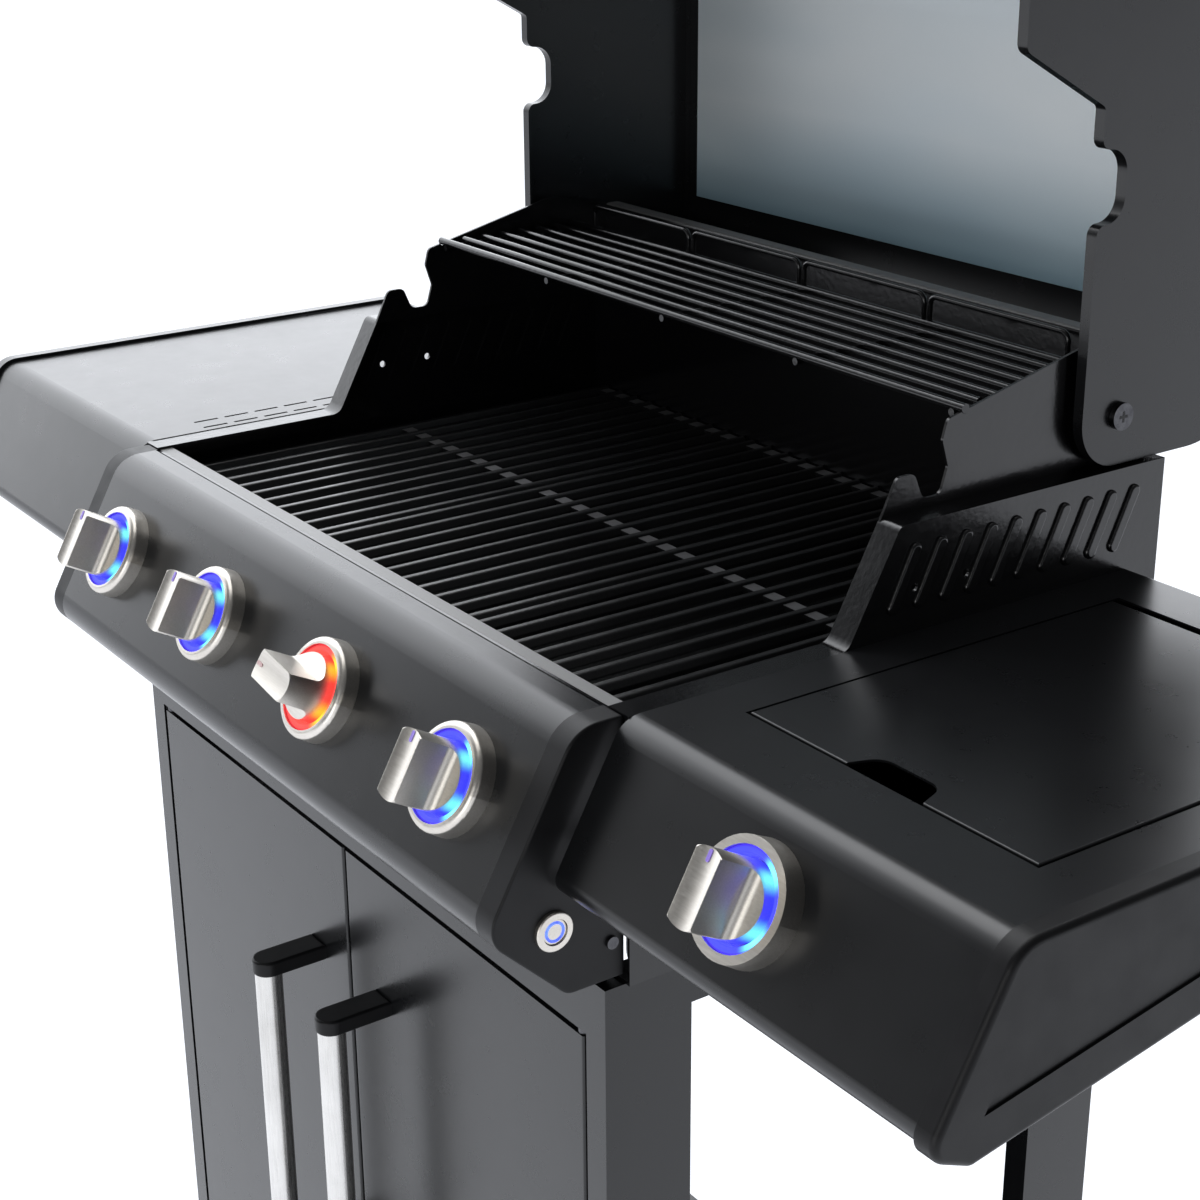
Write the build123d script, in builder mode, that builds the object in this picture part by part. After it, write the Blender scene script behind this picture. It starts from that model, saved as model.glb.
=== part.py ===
from build123d import *
import os
from math import cos, radians, sin, tan

# Gas barbecue grill on a cart: four burners under a hinged hood, two side tables,
# a side burner under a flap, five lit control knobs and two cabinet doors.
# X runs to the right, Y to the back and Z up. Sizes are millimetres.
# Heights named without "FLOOR" are measured from the firebox rim.

os.makedirs("parts", exist_ok=True)

# Fits and sheet
SHEET = 1.5  # folded panels
PLATE = 2.0  # pressed firebox ends
RUN = 0.05  # radial clearance of a turning or sliding fit
LOOSE = 0.3  # clearance of pieces that only pass each other

# Firebox
RIM_HEIGHT = 905.0  # floor to the firebox rim
FIREBOX_HALF = 325.0  # centre to the outer face of a firebox end
FIREBOX_BACK = 429.5  # rim line to the outer face of the back wall
END_STEP = 19.5  # ledge between the lower and the upper end plate
LEDGE_HEIGHT = 75.0
SIDE_RIM_Y = 160.0  # where the low side rim turns up into the slope
LEDGE_Y = 199.0  # where the slope meets the ledge
SIDE_RIM_HEIGHT = SHEET + PLATE  # the ends lap over the tub's front flange
BACK_WALL_TOP = 145.0
END_BOTTOM = -170.0
TUB_FRONT = 10.0
TUB_FRONT_BOTTOM = -120.0
TUB_LOW_Y = FIREBOX_BACK - 89.5
TUB_LOW = -165.5
TUB_BACK_BOTTOM = -156.0
GREASE_SLOT = (2 * FIREBOX_HALF - 190.0, 70.0)
LOBE = (210.5, 224.5, 98.5)  # front tip of the upper plate: from, to, height
SPIT_SLOT = (232.0, 247.0, 81.0)  # notch for a spit: from, to, floor height
SHOULDER = (250.0, 128.0)
CREST = (372.0, 157.0)
VENT_COUNT = 10
VENT_PITCH = 21.2
VENT_LENGTH = 47.0
VENT_WIDTH = 9.0
VENT_RISE = 2.4  # how far the pressed louvres stand proud
VENT_DENT = 1.0  # depth of their back side
VENT_HEIGHT = 40.5
VENT_LEAN = 64.6
VENT_FIRST_Y = 203.0
END_HOLE_R = 2.6
END_HOLES_Y = (212.0, 255.0)
END_HOLE_HEIGHT = 33.0
RIM_FLANGE = 25.0
BACK_FLANGE = 11.0  # folded top edge of the back wall

# Grates, flame tamers and burners
GRATE_COUNT = 3
GRATE_HALF = FIREBOX_HALF - PLATE - 15.0
GRATE_TOP = -16.5
GRATE_THICK = 16.0
GRATE_GAP = 3.0
BARS_PER_GRATE = 10
BAR_WIDTH = 10.0
BAR_SHOULDER = 5.0  # depth where a bar is widest
RIB_DEPTH = 10.0
RIB_DROP = 2.0  # rib top below the bars' tops
GRATE_FRONT = 13.0
GRATE_BACK = FIREBOX_BACK - 3.5
SHELF_DEPTH = 12.0  # ledges in the tub that carry grates and tamers
BURNER_PITCH = (FIREBOX_HALF - 5.0) / 2
BURNER_R = 13.0
BURNER_WALL = 1.5
BURNER_HEIGHT = -98.0
BURNER_FRONT = -12.0
TAMER_WIDTH = 110.0
TAMER_APEX = -40.0
TAMER_FOOT = -66.0
IGNITER_R = 3.0
IGNITER_OFFSET = 24.0

# Warming rack
RACK_WIRES = 8
RACK_PITCH = 18.2
RACK_FRONT = 264.0
RACK_HEIGHT = 132.5
RACK_WIRE_R = 2.5
RACK_END_WIRE_R = 3.0
RACK_CROSSES = 5
RACK_CROSS_PITCH = (FIREBOX_HALF - END_STEP - 7.5) / 2
RACK_GUARD = 20.0
RACK_GUARD_PITCH = (FIREBOX_HALF - END_STEP - 33.5) / 2
RACK_GUARD_GAP = 6.0

# Hood
PIVOT = (387.5, 109.5)
LID_OPEN = 90.0  # opening angle at rest, degrees
LID_LOW = 7.0  # lower edge of the closed hood at the front
LID_TOP = 247.0
LID_FRONT = 2.0
LID_BROW = (38.0, 185.0)
LID_SHOULDER_Y = 150.0
LID_BENDS = (70.0, 90.0, 70.0)  # brow, shoulder and back
LID_EAR = 33.0  # radius of the end plates about the pivot
LID_REAR_EDGE = LID_TOP - LID_BENDS[2] - 1.0
LID_CLEAR = 8.0  # gap from the hood's ends to the firebox slope
LID_END_WIDTH = 8.0
LID_END_WALL = 2.5
LID_GAP = 4.5  # gap between upper firebox plate and hood end
SPIT_ARCH = ((SPIT_SLOT[0] + SPIT_SLOT[1]) / 2, 23.0, 7.0)  # middle, half width, corner radius
LINER_SHEET = 1.0
LINER_SPAN = (67.0, 356.0)
LINER_MARGIN = 12.0
HANDLE_R = 11.0
HANDLE_HALF = FIREBOX_HALF - 115.0
HANDLE_POST_R = 8.0
HANDLE_POST_X = HANDLE_HALF - 40.0
HANDLE_STANDOFF = 52.0
HANDLE_HEIGHT = 70.0
DIAL_R = 36.0
DIAL_DEPTH = 10.0
DIAL_HEIGHT = 135.0
PROBE_R = 4.0
PROBE_LENGTH = 60.0
PIVOT_R = 4.0
PIVOT_HEAD_R = 9.0
PIVOT_HEAD = 4.0
PIVOT_SPACER_R = 8.0

# Control panel
PANEL_HALF = FIREBOX_HALF - 5.0
PANEL_END = 18.0
PANEL_END_WALL = 2.5
PANEL_TOP = 3.0
PANEL_BROW = -33.0
FACE_TILT = 29.0
PANEL_NOSE = -111.0
CHIN_TILT = 46.0
PANEL_BOTTOM = -164.0
PANEL_BACK = -1.0
PANEL_GROOVE = 3.0  # from the panel's top edge to the firebox flange
BROW_R = 25.0
NOSE_R = 20.0
CHIN_R = 12.0

# Knobs, their lit rings, valves and gas pipes
KNOB_HEIGHT = -51.5
KNOB_R = 22.0
KNOB_GRIP = 19.0  # thickness of the grip bar
KNOB_BASE = 7.0  # panel face to the back of the knob
KNOB_NECK = 15.0
KNOB_LENGTH = 44.0  # panel face to the front of the knob
KNOB_EDGE = 1.5
KNOB_SCOOP_R = 30.0
KNOB_TURNED = 2  # index of the knob that is turned on
KNOB_ON_ANGLE = 84.0
BEZEL_R = 34.5
BEZEL_BORE = 28.5
BEZEL_DEPTH = 13.0
BEZEL_EDGE = 4.0
BEZEL_FLOOR = 2.0
LIGHT_R = BEZEL_BORE - 0.3
LIGHT_BORE = 24.0
LIGHT_DEPTH = 9.5
SHAFT_R = 4.0
SHAFT_DEPTH = 36.0
PLUNGER_R = 6.0
PLUNGER_TOP = -5.0
PLUNGER_DEPTH = 38.0
VALVE_R = 13.0
VALVE_TOP = -16.0
VALVE_BORE_DEPTH = 44.0
MANIFOLD_DEPTH = 54.0
MANIFOLD_R = 7.0
MANIFOLD_HALF = PANEL_HALF - 24.0
NOZZLE_R = 4.5
NOZZLE_LENGTH = 36.0
STUB = 12.0
PIPE_R = 5.0
INLET_X = FIREBOX_HALF - 47.0
INLET_Y = 36.0
INLET_BEND = -142.0
INLET_LOW = -195.0
INLET_BACK = 72.0
INLET_NUT_R = 11.0
INLET_NUT = 12.0
INLET_R = 6.5
INLET_LENGTH = 14.0

# Power button on the right end of the panel
BUTTON_Y = -51.0
BUTTON_HEIGHT = -118.0
BUTTON_R = 8.3
BUTTON_PROUD = 2.0
BUTTON_LENGTH = 9.0
BUTTON_ROOM = 3.0
BUTTON_RING_R = 12.5
BUTTON_RING = 3.0
BUTTON_SLEEVE = 1.5

# Side tables
TABLE_REACH = 311.0  # firebox end to the outer end of a table
TABLE_TOP = 4.0
TABLE_BACK = FIREBOX_BACK - 27.5
TABLE_BROW = -5.0
TABLE_NOSE = -88.0
TABLE_LIP = (-30.0, -100.0)
TABLE_BACK_LIP = 34.0
TABLE_BROW_R = 20.0
TABLE_NOSE_R = 10.0
TABLE_END = 14.0
TABLE_END_PROUD = 3.0
TABLE_END_WALL = 2.5
TABLE_INSET = 22.0
TABLE_WEB = (12.0, 396.0, -60.0)
SLOT_ROWS = (8.0, 25.5)  # vent slots beside the firebox, from its end
SLOT_COUNT = 5
SLOT_PITCH = 27.0
SLOT_FIRST_Y = 62.0
SLOT_SIZE = (3.0, 21.0)

# Side burner
FLAP_MARGIN = 37.5
FLAP_WIDTH = TABLE_REACH - TABLE_END - 2 * FLAP_MARGIN
SIDE_X = FIREBOX_HALF + FLAP_MARGIN + FLAP_WIDTH / 2 - 1.5
FLAP_FRONT = 57.0
FLAP_BACK = 349.0
FLAP_GAP = 2.0
FLAP_HINGE_ROOM = 8.0
FLAP_PROUD = 0.5
FLAP_DEPTH = 14.0
FLAP_AXIS = (345.0, -5.0)
FLAP_PIN_R = 2.5
NOTCH_WIDTH = 61.0
NOTCH_DEPTH = 20.0
BOWL_DEPTH = 56.0
BOWL_FLANGE = 12.0
SIDE_KNOB_HEIGHT = -39.0
SIDE_NOZZLE_HEIGHT = -74.0
SIDE_HEAD_R = 35.0
SIDE_HEAD = 14.0
SIDE_CAP_R = 27.0
SIDE_CAP = 6.0
SIDE_NECK_R = 12.0
VENTURI_R = 10.0
VENTURI_FRONT = 26.0
SUPPORT_HALF = 92.0
SUPPORT_BAR = 6.0
SUPPORT_TOP = -8.0
SUPPORT_FINGER = 55.0

# Cart
LEG_WIDTH = 20.0
LEG_DEPTH = 64.0
LEG_WALL = 2.0
CART_HALF = FIREBOX_HALF - 4.0
CART_FRONT = -16.0
CART_BACK = FIREBOX_BACK - 13.5
RAIL_HEIGHT = 30.0
FRONT_RAIL_DEPTH = 20.0
FRONT_RAIL_BOTTOM = -209.0
REAR_RAIL_TOP = -225.0
BASE_FLOOR = 120.0  # top of the bottom shelf above the floor
BASE_SKIRT = 20.0
BASE_PAD = 1.0  # rise of the pressed middle of the bottom shelf
BASE_PAD_EDGE = 31.0
CASTER_BLOCK = 60.0
CASTER_INSET = 41.0

# Doors
DOOR_GAP = 3.0
DOOR_MEET = 3.0
DOOR_TOP = -213.0
DOOR_LIFT = 8.0  # above the bottom shelf
DOOR_DEPTH = 18.0
DOOR_EDGE = 2.0
DOOR_PIN_IN = 5.0
DOOR_PIN_R = 2.5
DOOR_COLLAR_R = 4.5
DOOR_PIN = 12.0
GRIP_X = 48.0
GRIP_R = 10.0
GRIP_TOP = -308.0
GRIP_LENGTH = 264.0
GRIP_CAP = 12.0
GRIP_CAP_HALF = 11.5
GRIP_STANDOFF = 42.0

# Casters
WHEEL_R = 35.0
WHEEL_WIDTH = 26.0
WHEEL_CROWN = 5.0
HUB_R = 13.0
HUB_WIDTH = 30.0
AXLE_R = 4.0
CASTER_TRAIL = 24.0
FORK_WALL = 3.0
FORK_GAP = 1.0
FORK_HALF = 22.0
FORK_TOP = 99.7
STEM_R = 5.0
STEM_LENGTH = 16.0
BRAKE_HALF = 9.0  # brake pedals of the front casters
BRAKE_LENGTH = 28.0

# Grease tray
TRAY_HALF = FIREBOX_HALF - 80.0
TRAY_FRONT = TUB_LOW_Y - 52.0
TRAY_BACK = FIREBOX_BACK - 5.5
TRAY_TOP = -181.0
TRAY_DEPTH = 22.0
TRAY_LIP = 9.0

# Derived places
FACE_COS = cos(radians(FACE_TILT))
FACE_SIN = sin(radians(FACE_TILT))
FACE_TAN = tan(radians(FACE_TILT))
KNOB_Y = PANEL_BROW - (PANEL_TOP - KNOB_HEIGHT) * FACE_TAN
SIDE_KNOB_Y = TABLE_BROW - (TABLE_TOP - SIDE_KNOB_HEIGHT) * FACE_TAN
UPPER_IN = FIREBOX_HALF - END_STEP
UPPER_OUT = UPPER_IN + PLATE
LOWER_IN = FIREBOX_HALF - PLATE
LID_HALF = UPPER_OUT + LID_GAP
LID_OUT = LID_HALF + LID_END_WIDTH
PIVOT_SPACER = LID_OUT - LID_END_WALL - LOOSE - UPPER_OUT
TABLE_OUT = FIREBOX_HALF + TABLE_REACH
FRONT_REACH = (
    -KNOB_Y
    + (KNOB_LENGTH - KNOB_EDGE) * FACE_COS
    + (KNOB_R - KNOB_EDGE) * FACE_SIN
    + KNOB_EDGE
)
BACK_REACH = PIVOT[0] + LID_TOP - PIVOT[1]
RIM_Y = (FRONT_REACH - BACK_REACH) / 2
FLOOR = -RIM_HEIGHT
BASE_TOP = FLOOR + BASE_FLOOR
KNOB_X = [(i - 1.5) * BURNER_PITCH for i in range(4)] + [SIDE_X]
SIDES = {"left": -1, "right": 1}


# Working planes. Their local axes are rim coordinates.
def side_plane(x):
    """Local (y, z), extruding to +X."""
    return Plane(origin=(x, RIM_Y, RIM_HEIGHT), x_dir=(0, 1, 0), z_dir=(1, 0, 0))


def level_plane(z):
    """Local (x, y), extruding upwards."""
    return Plane(origin=(0, RIM_Y, RIM_HEIGHT + z), x_dir=(1, 0, 0), z_dir=(0, 0, 1))


def front_plane(y):
    """Local (x, z), extruding to the front."""
    return Plane(origin=(0, RIM_Y + y, RIM_HEIGHT), x_dir=(1, 0, 0), z_dir=(0, -1, 0))


def knob_plane(index, depth=0.0, turn=0.0):
    """Plane of a knob's panel face, its normal pointing out along the shaft."""
    on_table = index == 4
    y = SIDE_KNOB_Y if on_table else KNOB_Y
    z = SIDE_KNOB_HEIGHT if on_table else KNOB_HEIGHT
    across = Vector(cos(radians(turn)), sin(radians(turn)) * FACE_SIN, sin(radians(turn)) * FACE_COS)
    origin = (KNOB_X[index], RIM_Y + y - depth * FACE_COS, RIM_HEIGHT + z + depth * FACE_SIN)
    return Plane(origin=origin, x_dir=across, z_dir=(0, -FACE_COS, FACE_SIN))


def behind_face(y, z, depth):
    """Rim (y, z) of the point that lies depth behind a face point."""
    return y + depth * FACE_COS, z - depth * FACE_SIN


def lid_turned(y, z):
    """Turn a closed-hood direction (y, z) to the open rest pose."""
    angle = radians(LID_OPEN)
    return y * cos(angle) + z * sin(angle), z * cos(angle) - y * sin(angle)


def lid_plane(x):
    """Local (y, z) are closed-hood rim coordinates, extruding to +X."""
    y, z = lid_turned(-PIVOT[0], -PIVOT[1])
    dir_y, dir_z = lid_turned(1, 0)
    origin = (x, RIM_Y + PIVOT[0] + y, RIM_HEIGHT + PIVOT[1] + z)
    return Plane(origin=origin, x_dir=(0, dir_y, dir_z), z_dir=(1, 0, 0))


def lid_face_plane(x, y, z, normal):
    """Plane at a closed-hood point, with a closed-hood (y, z) normal."""
    place = lid_turned(y - PIVOT[0], z - PIVOT[1])
    facing = lid_turned(*normal)
    origin = (x, RIM_Y + PIVOT[0] + place[0], RIM_HEIGHT + PIVOT[1] + place[1])
    return Plane(origin=origin, x_dir=(1, 0, 0), z_dir=(0, *facing))


# Shared profiles
def strip(plane, points, radii, thickness, side=Side.LEFT):
    """Sketch a folded sheet that follows a filleted path."""
    with BuildSketch(plane) as sheet:
        with BuildLine():
            FilletPolyline(*points, radius=radii)
            offset(amount=thickness, side=side)
        make_face()
    return sheet.sketch


def outline(plane, points, radii):
    """Sketch a closed filleted outline."""
    with BuildSketch(plane) as face:
        with BuildLine():
            FilletPolyline(*points, radius=radii, close=True)
        make_face()
    return face.sketch


def block(low, high, mode=Mode.ADD):
    """Add or cut a box between two rim corners."""
    (x0, y0, z0), (x1, y1, z1) = low, high
    with BuildSketch(level_plane(min(z0, z1))) as base:
        with Locations(((x0 + x1) / 2, (y0 + y1) / 2)):
            Rectangle(abs(x1 - x0), abs(y1 - y0))
    extrude(base.sketch, amount=abs(z1 - z0), mode=mode)


def rod(plane, places, radius, length, mode=Mode.ADD):
    """Add or cut round bars that stand on a plane."""
    with BuildSketch(plane) as base:
        with Locations(*places):
            Circle(radius)
    extrude(base.sketch, amount=length, mode=mode)


def tube_along(points, radii, radius):
    """Sweep a round pipe along rim points."""
    with BuildLine(Plane(origin=(0, RIM_Y, RIM_HEIGHT))) as path:
        FilletPolyline(*points, radius=radii)
    with BuildSketch(Plane(origin=path.line @ 0, z_dir=path.line % 0)) as bore:
        Circle(radius)
    sweep(bore.sketch, path=path.line)


def save(piece, name):
    """Label a finished piece and write its file."""
    piece.part.label = name
    export_step(piece.part, f"parts/{name}.step")


# Firebox tub: folded front, sloping floor with a grease slot, and back wall
FLOOR_PATH = [
    (PANEL_BACK, SHEET),
    (TUB_FRONT + SHEET, SHEET),
    (TUB_FRONT + SHEET, TUB_FRONT_BOTTOM),
    (TUB_LOW_Y, TUB_LOW),
    (FIREBOX_BACK - SHEET, TUB_BACK_BOTTOM),
    (FIREBOX_BACK - SHEET, BACK_WALL_TOP),
    (FIREBOX_BACK + BACK_FLANGE, BACK_WALL_TOP),
]
GRATE_BOTTOM = GRATE_TOP - GRATE_THICK
RUNNER_X = TRAY_HALF + LOOSE
with BuildPart() as firebox_tub:
    bends = [0, 3, 8, 8, 3]
    extrude(strip(side_plane(-LOWER_IN), FLOOR_PATH, bends, SHEET, Side.RIGHT), amount=2 * LOWER_IN)
    for seat in (GRATE_BOTTOM, TAMER_FOOT):
        front = TUB_FRONT + SHEET
        back = FIREBOX_BACK - SHEET
        block((-LOWER_IN, front, seat - SHEET), (LOWER_IN, front + SHELF_DEPTH, seat))
        block((-LOWER_IN, back - SHELF_DEPTH, seat - SHEET), (LOWER_IN, back, seat))
    for side in SIDES.values():
        low = TRAY_TOP - SHEET - LOOSE - SHEET
        with BuildSketch(side_plane(side * (RUNNER_X + TRAY_LIP) - SHEET / 2)):
            with BuildLine():
                Polyline(
                    (TRAY_FRONT, low),
                    (TRAY_BACK, low),
                    (TRAY_BACK, TUB_BACK_BOTTOM - SHEET),
                    (TUB_LOW_Y, TUB_LOW - SHEET / 2),
                    (TRAY_FRONT, TUB_LOW - SHEET / 2),
                    close=True,
                )
            make_face()
        extrude(amount=SHEET)
        block(
            (side * (RUNNER_X + LOOSE), TRAY_FRONT, low),
            (side * (RUNNER_X + TRAY_LIP), TRAY_BACK, low + SHEET),
        )
    for side in SIDES.values():
        block(
            (side * UPPER_IN, FIREBOX_BACK - 2 * SHEET, LEDGE_HEIGHT - PLATE),
            (side * FIREBOX_HALF, FIREBOX_BACK + BACK_FLANGE + SHEET, BACK_WALL_TOP + SHEET),
            Mode.SUBTRACT,
        )
    block(
        (-GREASE_SLOT[0] / 2, TUB_LOW_Y - GREASE_SLOT[1] / 2, TUB_LOW - 4 * SHEET),
        (GREASE_SLOT[0] / 2, TUB_LOW_Y + GREASE_SLOT[1] / 2, TUB_LOW + RIM_FLANGE),
        Mode.SUBTRACT,
    )
    rod(
        front_plane(TUB_FRONT + 2 * SHEET),
        [(x, BURNER_HEIGHT) for x in KNOB_X[:4]],
        BURNER_R + LOOSE,
        3 * SHEET,
        Mode.SUBTRACT,
    )
    rod(
        front_plane(TUB_FRONT + 2 * SHEET),
        [(x + IGNITER_OFFSET, BURNER_HEIGHT + BURNER_R) for x in KNOB_X[:4]],
        IGNITER_R + LOOSE,
        3 * SHEET,
        Mode.SUBTRACT,
    )
save(firebox_tub, "firebox_tub")

# Firebox ends: lower plate with pressed louvres, ledge, and upper plate with the spit notch
LEDGE_PATH = [
    (PANEL_BACK, SIDE_RIM_HEIGHT),
    (SIDE_RIM_Y, SIDE_RIM_HEIGHT),
    (LEDGE_Y, LEDGE_HEIGHT),
    (FIREBOX_BACK, LEDGE_HEIGHT),
]
SLOPE = (LEDGE_Y - SIDE_RIM_Y) / (LEDGE_HEIGHT - SIDE_RIM_HEIGHT)
UPPER_PLATE = [
    (LEDGE_Y - PLATE * SLOPE, LEDGE_HEIGHT - PLATE),
    (LOBE[0], LOBE[2]),
    (LOBE[1], LOBE[2]),
    (SPIT_SLOT[0], SPIT_SLOT[2]),
    (SPIT_SLOT[1], SPIT_SLOT[2]),
    (SPIT_SLOT[1] + 5, SPIT_SLOT[2] + 17),
    (SHOULDER[0] - 3.5, SHOULDER[1] - 13),
    SHOULDER,
    CREST,
    (FIREBOX_BACK, BACK_WALL_TOP),
    (FIREBOX_BACK, LEDGE_HEIGHT - PLATE),
]
UPPER_RADII = [0, 6, 6, 7, 6, 4, 5, 5, 30, 0, 0]
RACK_REAR = RACK_FRONT + (RACK_WIRES - 1) * RACK_PITCH
for name, side in SIDES.items():
    upper_x = UPPER_IN if side > 0 else -UPPER_OUT
    lower_x = LOWER_IN if side > 0 else -FIREBOX_HALF
    ledge_x = UPPER_IN if side > 0 else -FIREBOX_HALF
    with BuildPart() as firebox_end:
        extrude(outline(side_plane(upper_x), UPPER_PLATE, UPPER_RADII), amount=PLATE)
        extrude(strip(side_plane(ledge_x), LEDGE_PATH, [10, 6], PLATE, Side.RIGHT), amount=END_STEP)
        extrude(
            outline(
                side_plane(lower_x),
                LEDGE_PATH + [(FIREBOX_BACK, END_BOTTOM), (PANEL_BACK, END_BOTTOM)],
                [0, 10, 6, 0, 0, 0],
            ),
            amount=PLATE,
        )
        block(
            (side * (CART_HALF - LEG_WIDTH), PANEL_BACK, END_BOTTOM),
            (side * FIREBOX_HALF, FIREBOX_BACK, END_BOTTOM + PLATE),
        )
        louvres = [(VENT_FIRST_Y + i * VENT_PITCH, VENT_HEIGHT) for i in range(VENT_COUNT)]
        with BuildSketch(side_plane(side * FIREBOX_HALF)) as ribs:
            with Locations(*louvres):
                SlotOverall(VENT_LENGTH, VENT_WIDTH, rotation=VENT_LEAN)
        extrude(ribs.sketch, amount=side * VENT_RISE)
        proud = firebox_end.faces().filter_by(Axis.X).group_by(Axis.X)[-1 if side > 0 else 0]
        fillet(proud.edges(), VENT_RISE * 0.8)
        with BuildSketch(side_plane(side * LOWER_IN)) as dents:
            with Locations(*louvres):
                SlotOverall(VENT_LENGTH - VENT_RISE, VENT_WIDTH - VENT_RISE, rotation=VENT_LEAN)
        extrude(dents.sketch, amount=side * VENT_DENT, mode=Mode.SUBTRACT)
        rod(
            side_plane(lower_x),
            [(y, END_HOLE_HEIGHT) for y in END_HOLES_Y],
            END_HOLE_R,
            PLATE,
            Mode.SUBTRACT,
        )
        rod(side_plane(upper_x), [PIVOT], PIVOT_R, PLATE, Mode.SUBTRACT)
        rod(
            side_plane(upper_x),
            [(RACK_REAR, RACK_HEIGHT)],
            RACK_END_WIRE_R + LOOSE,
            PLATE,
            Mode.SUBTRACT,
        )
        rod(
            side_plane(upper_x),
            [(RACK_FRONT, RACK_HEIGHT)],
            RACK_END_WIRE_R + LOOSE,
            PLATE,
            Mode.SUBTRACT,
        )
    save(firebox_end, f"firebox_end_{name}")

# Cooking grates: three frames of bars on three cross ribs
GRATE_WIDTH = (2 * GRATE_HALF - (GRATE_COUNT - 1) * GRATE_GAP) / GRATE_COUNT
BAR_PITCH = (GRATE_WIDTH - BAR_WIDTH) / (BARS_PER_GRATE - 1)
RIB_Y = (
    GRATE_FRONT + RIB_DEPTH / 2,
    (GRATE_FRONT + GRATE_BACK) / 2,
    GRATE_BACK - RIB_DEPTH / 2,
)
with BuildPart() as cooking_grates:
    for grate in range(GRATE_COUNT):
        middle = (grate - (GRATE_COUNT - 1) / 2) * (GRATE_WIDTH + GRATE_GAP)
        for bar in range(BARS_PER_GRATE):
            x = middle + (bar - (BARS_PER_GRATE - 1) / 2) * BAR_PITCH
            with BuildSketch(front_plane(GRATE_BACK)):
                with BuildLine():
                    FilletPolyline(
                        (x - BAR_WIDTH / 2, GRATE_TOP - BAR_SHOULDER),
                        (x - BAR_WIDTH / 4, GRATE_TOP),
                        (x + BAR_WIDTH / 4, GRATE_TOP),
                        (x + BAR_WIDTH / 2, GRATE_TOP - BAR_SHOULDER),
                        (x + BAR_WIDTH / 4, GRATE_BOTTOM),
                        (x - BAR_WIDTH / 4, GRATE_BOTTOM),
                        radius=[2, 2, 2, 2, 0, 0],
                        close=True,
                    )
                make_face()
            extrude(amount=GRATE_BACK - GRATE_FRONT)
        for y in RIB_Y:
            half = (GRATE_WIDTH - BAR_WIDTH) / 2
            block(
                (middle - half, y - RIB_DEPTH / 2, GRATE_BOTTOM),
                (middle + half, y + RIB_DEPTH / 2, GRATE_TOP - RIB_DROP),
            )
save(cooking_grates, "cooking_grates")

# Flame tamers: a folded roof over each burner
with BuildPart() as flame_tamers:
    for x in KNOB_X[:4]:
        extrude(
            strip(
                front_plane(FIREBOX_BACK - SHEET - LOOSE),
                [
                    (x - TAMER_WIDTH / 2, TAMER_FOOT),
                    (x, TAMER_APEX),
                    (x + TAMER_WIDTH / 2, TAMER_FOOT),
                ],
                [6],
                SHEET,
                Side.LEFT,
            ),
            amount=FIREBOX_BACK - TUB_FRONT - 2 * SHEET - 2 * LOOSE,
        )
    block(
        (-FIREBOX_HALF, TUB_FRONT, TAMER_FOOT - RIM_FLANGE),
        (FIREBOX_HALF, FIREBOX_BACK, TAMER_FOOT),
        Mode.SUBTRACT,
    )
save(flame_tamers, "flame_tamers")

# Burner tubes with a row of ports along each side
with BuildPart() as burner_tubes:
    for x in KNOB_X[:4]:
        rod(
            front_plane(FIREBOX_BACK - SHEET),
            [(x, BURNER_HEIGHT)],
            BURNER_R,
            FIREBOX_BACK - SHEET - BURNER_FRONT,
        )
        rod(
            front_plane(FIREBOX_BACK - 2 * SHEET),
            [(x, BURNER_HEIGHT)],
            BURNER_R - BURNER_WALL,
            FIREBOX_BACK - BURNER_FRONT,
            Mode.SUBTRACT,
        )
save(burner_tubes, "burner_tubes")

# Igniters: a ceramic rod with a collar on the tub's front wall
with BuildPart() as igniters:
    places = [(x + IGNITER_OFFSET, BURNER_HEIGHT + BURNER_R) for x in KNOB_X[:4]]
    rod(front_plane(TUB_FRONT + 40), places, IGNITER_R, 55)
    rod(front_plane(TUB_FRONT), places, IGNITER_R * 2, 5)
save(igniters, "igniters")

# Warming rack: long wires, cross wires under them and a rear guard
with BuildPart() as warming_rack:
    for wire in range(RACK_WIRES):
        on_end = wire in (0, RACK_WIRES - 1)
        radius = RACK_END_WIRE_R if on_end else RACK_WIRE_R
        half = UPPER_OUT + LOOSE if on_end else UPPER_IN - LID_GAP
        rod(side_plane(-half), [(RACK_FRONT + wire * RACK_PITCH, RACK_HEIGHT)], radius, 2 * half)
    for cross in range(RACK_CROSSES):
        x = (cross - (RACK_CROSSES - 1) / 2) * RACK_CROSS_PITCH
        rod(
            front_plane(RACK_REAR + RACK_WIRE_R),
            [(x, RACK_HEIGHT - 2 * RACK_WIRE_R + 0.8)],
            RACK_WIRE_R,
            (RACK_WIRES - 1) * RACK_PITCH + 2 * RACK_WIRE_R,
        )
    for span in range(4):
        start = (span - 2) * RACK_GUARD_PITCH + RACK_GUARD_GAP / 2
        end = start + RACK_GUARD_PITCH - RACK_GUARD_GAP
        tube_along(
            [
                (start, RACK_REAR, RACK_HEIGHT),
                (start, RACK_REAR, RACK_HEIGHT + RACK_GUARD),
                (end, RACK_REAR, RACK_HEIGHT + RACK_GUARD),
                (end, RACK_REAR, RACK_HEIGHT),
            ],
            [6, 6],
            RACK_WIRE_R * 0.8,
        )
save(warming_rack, "warming_rack")

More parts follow.
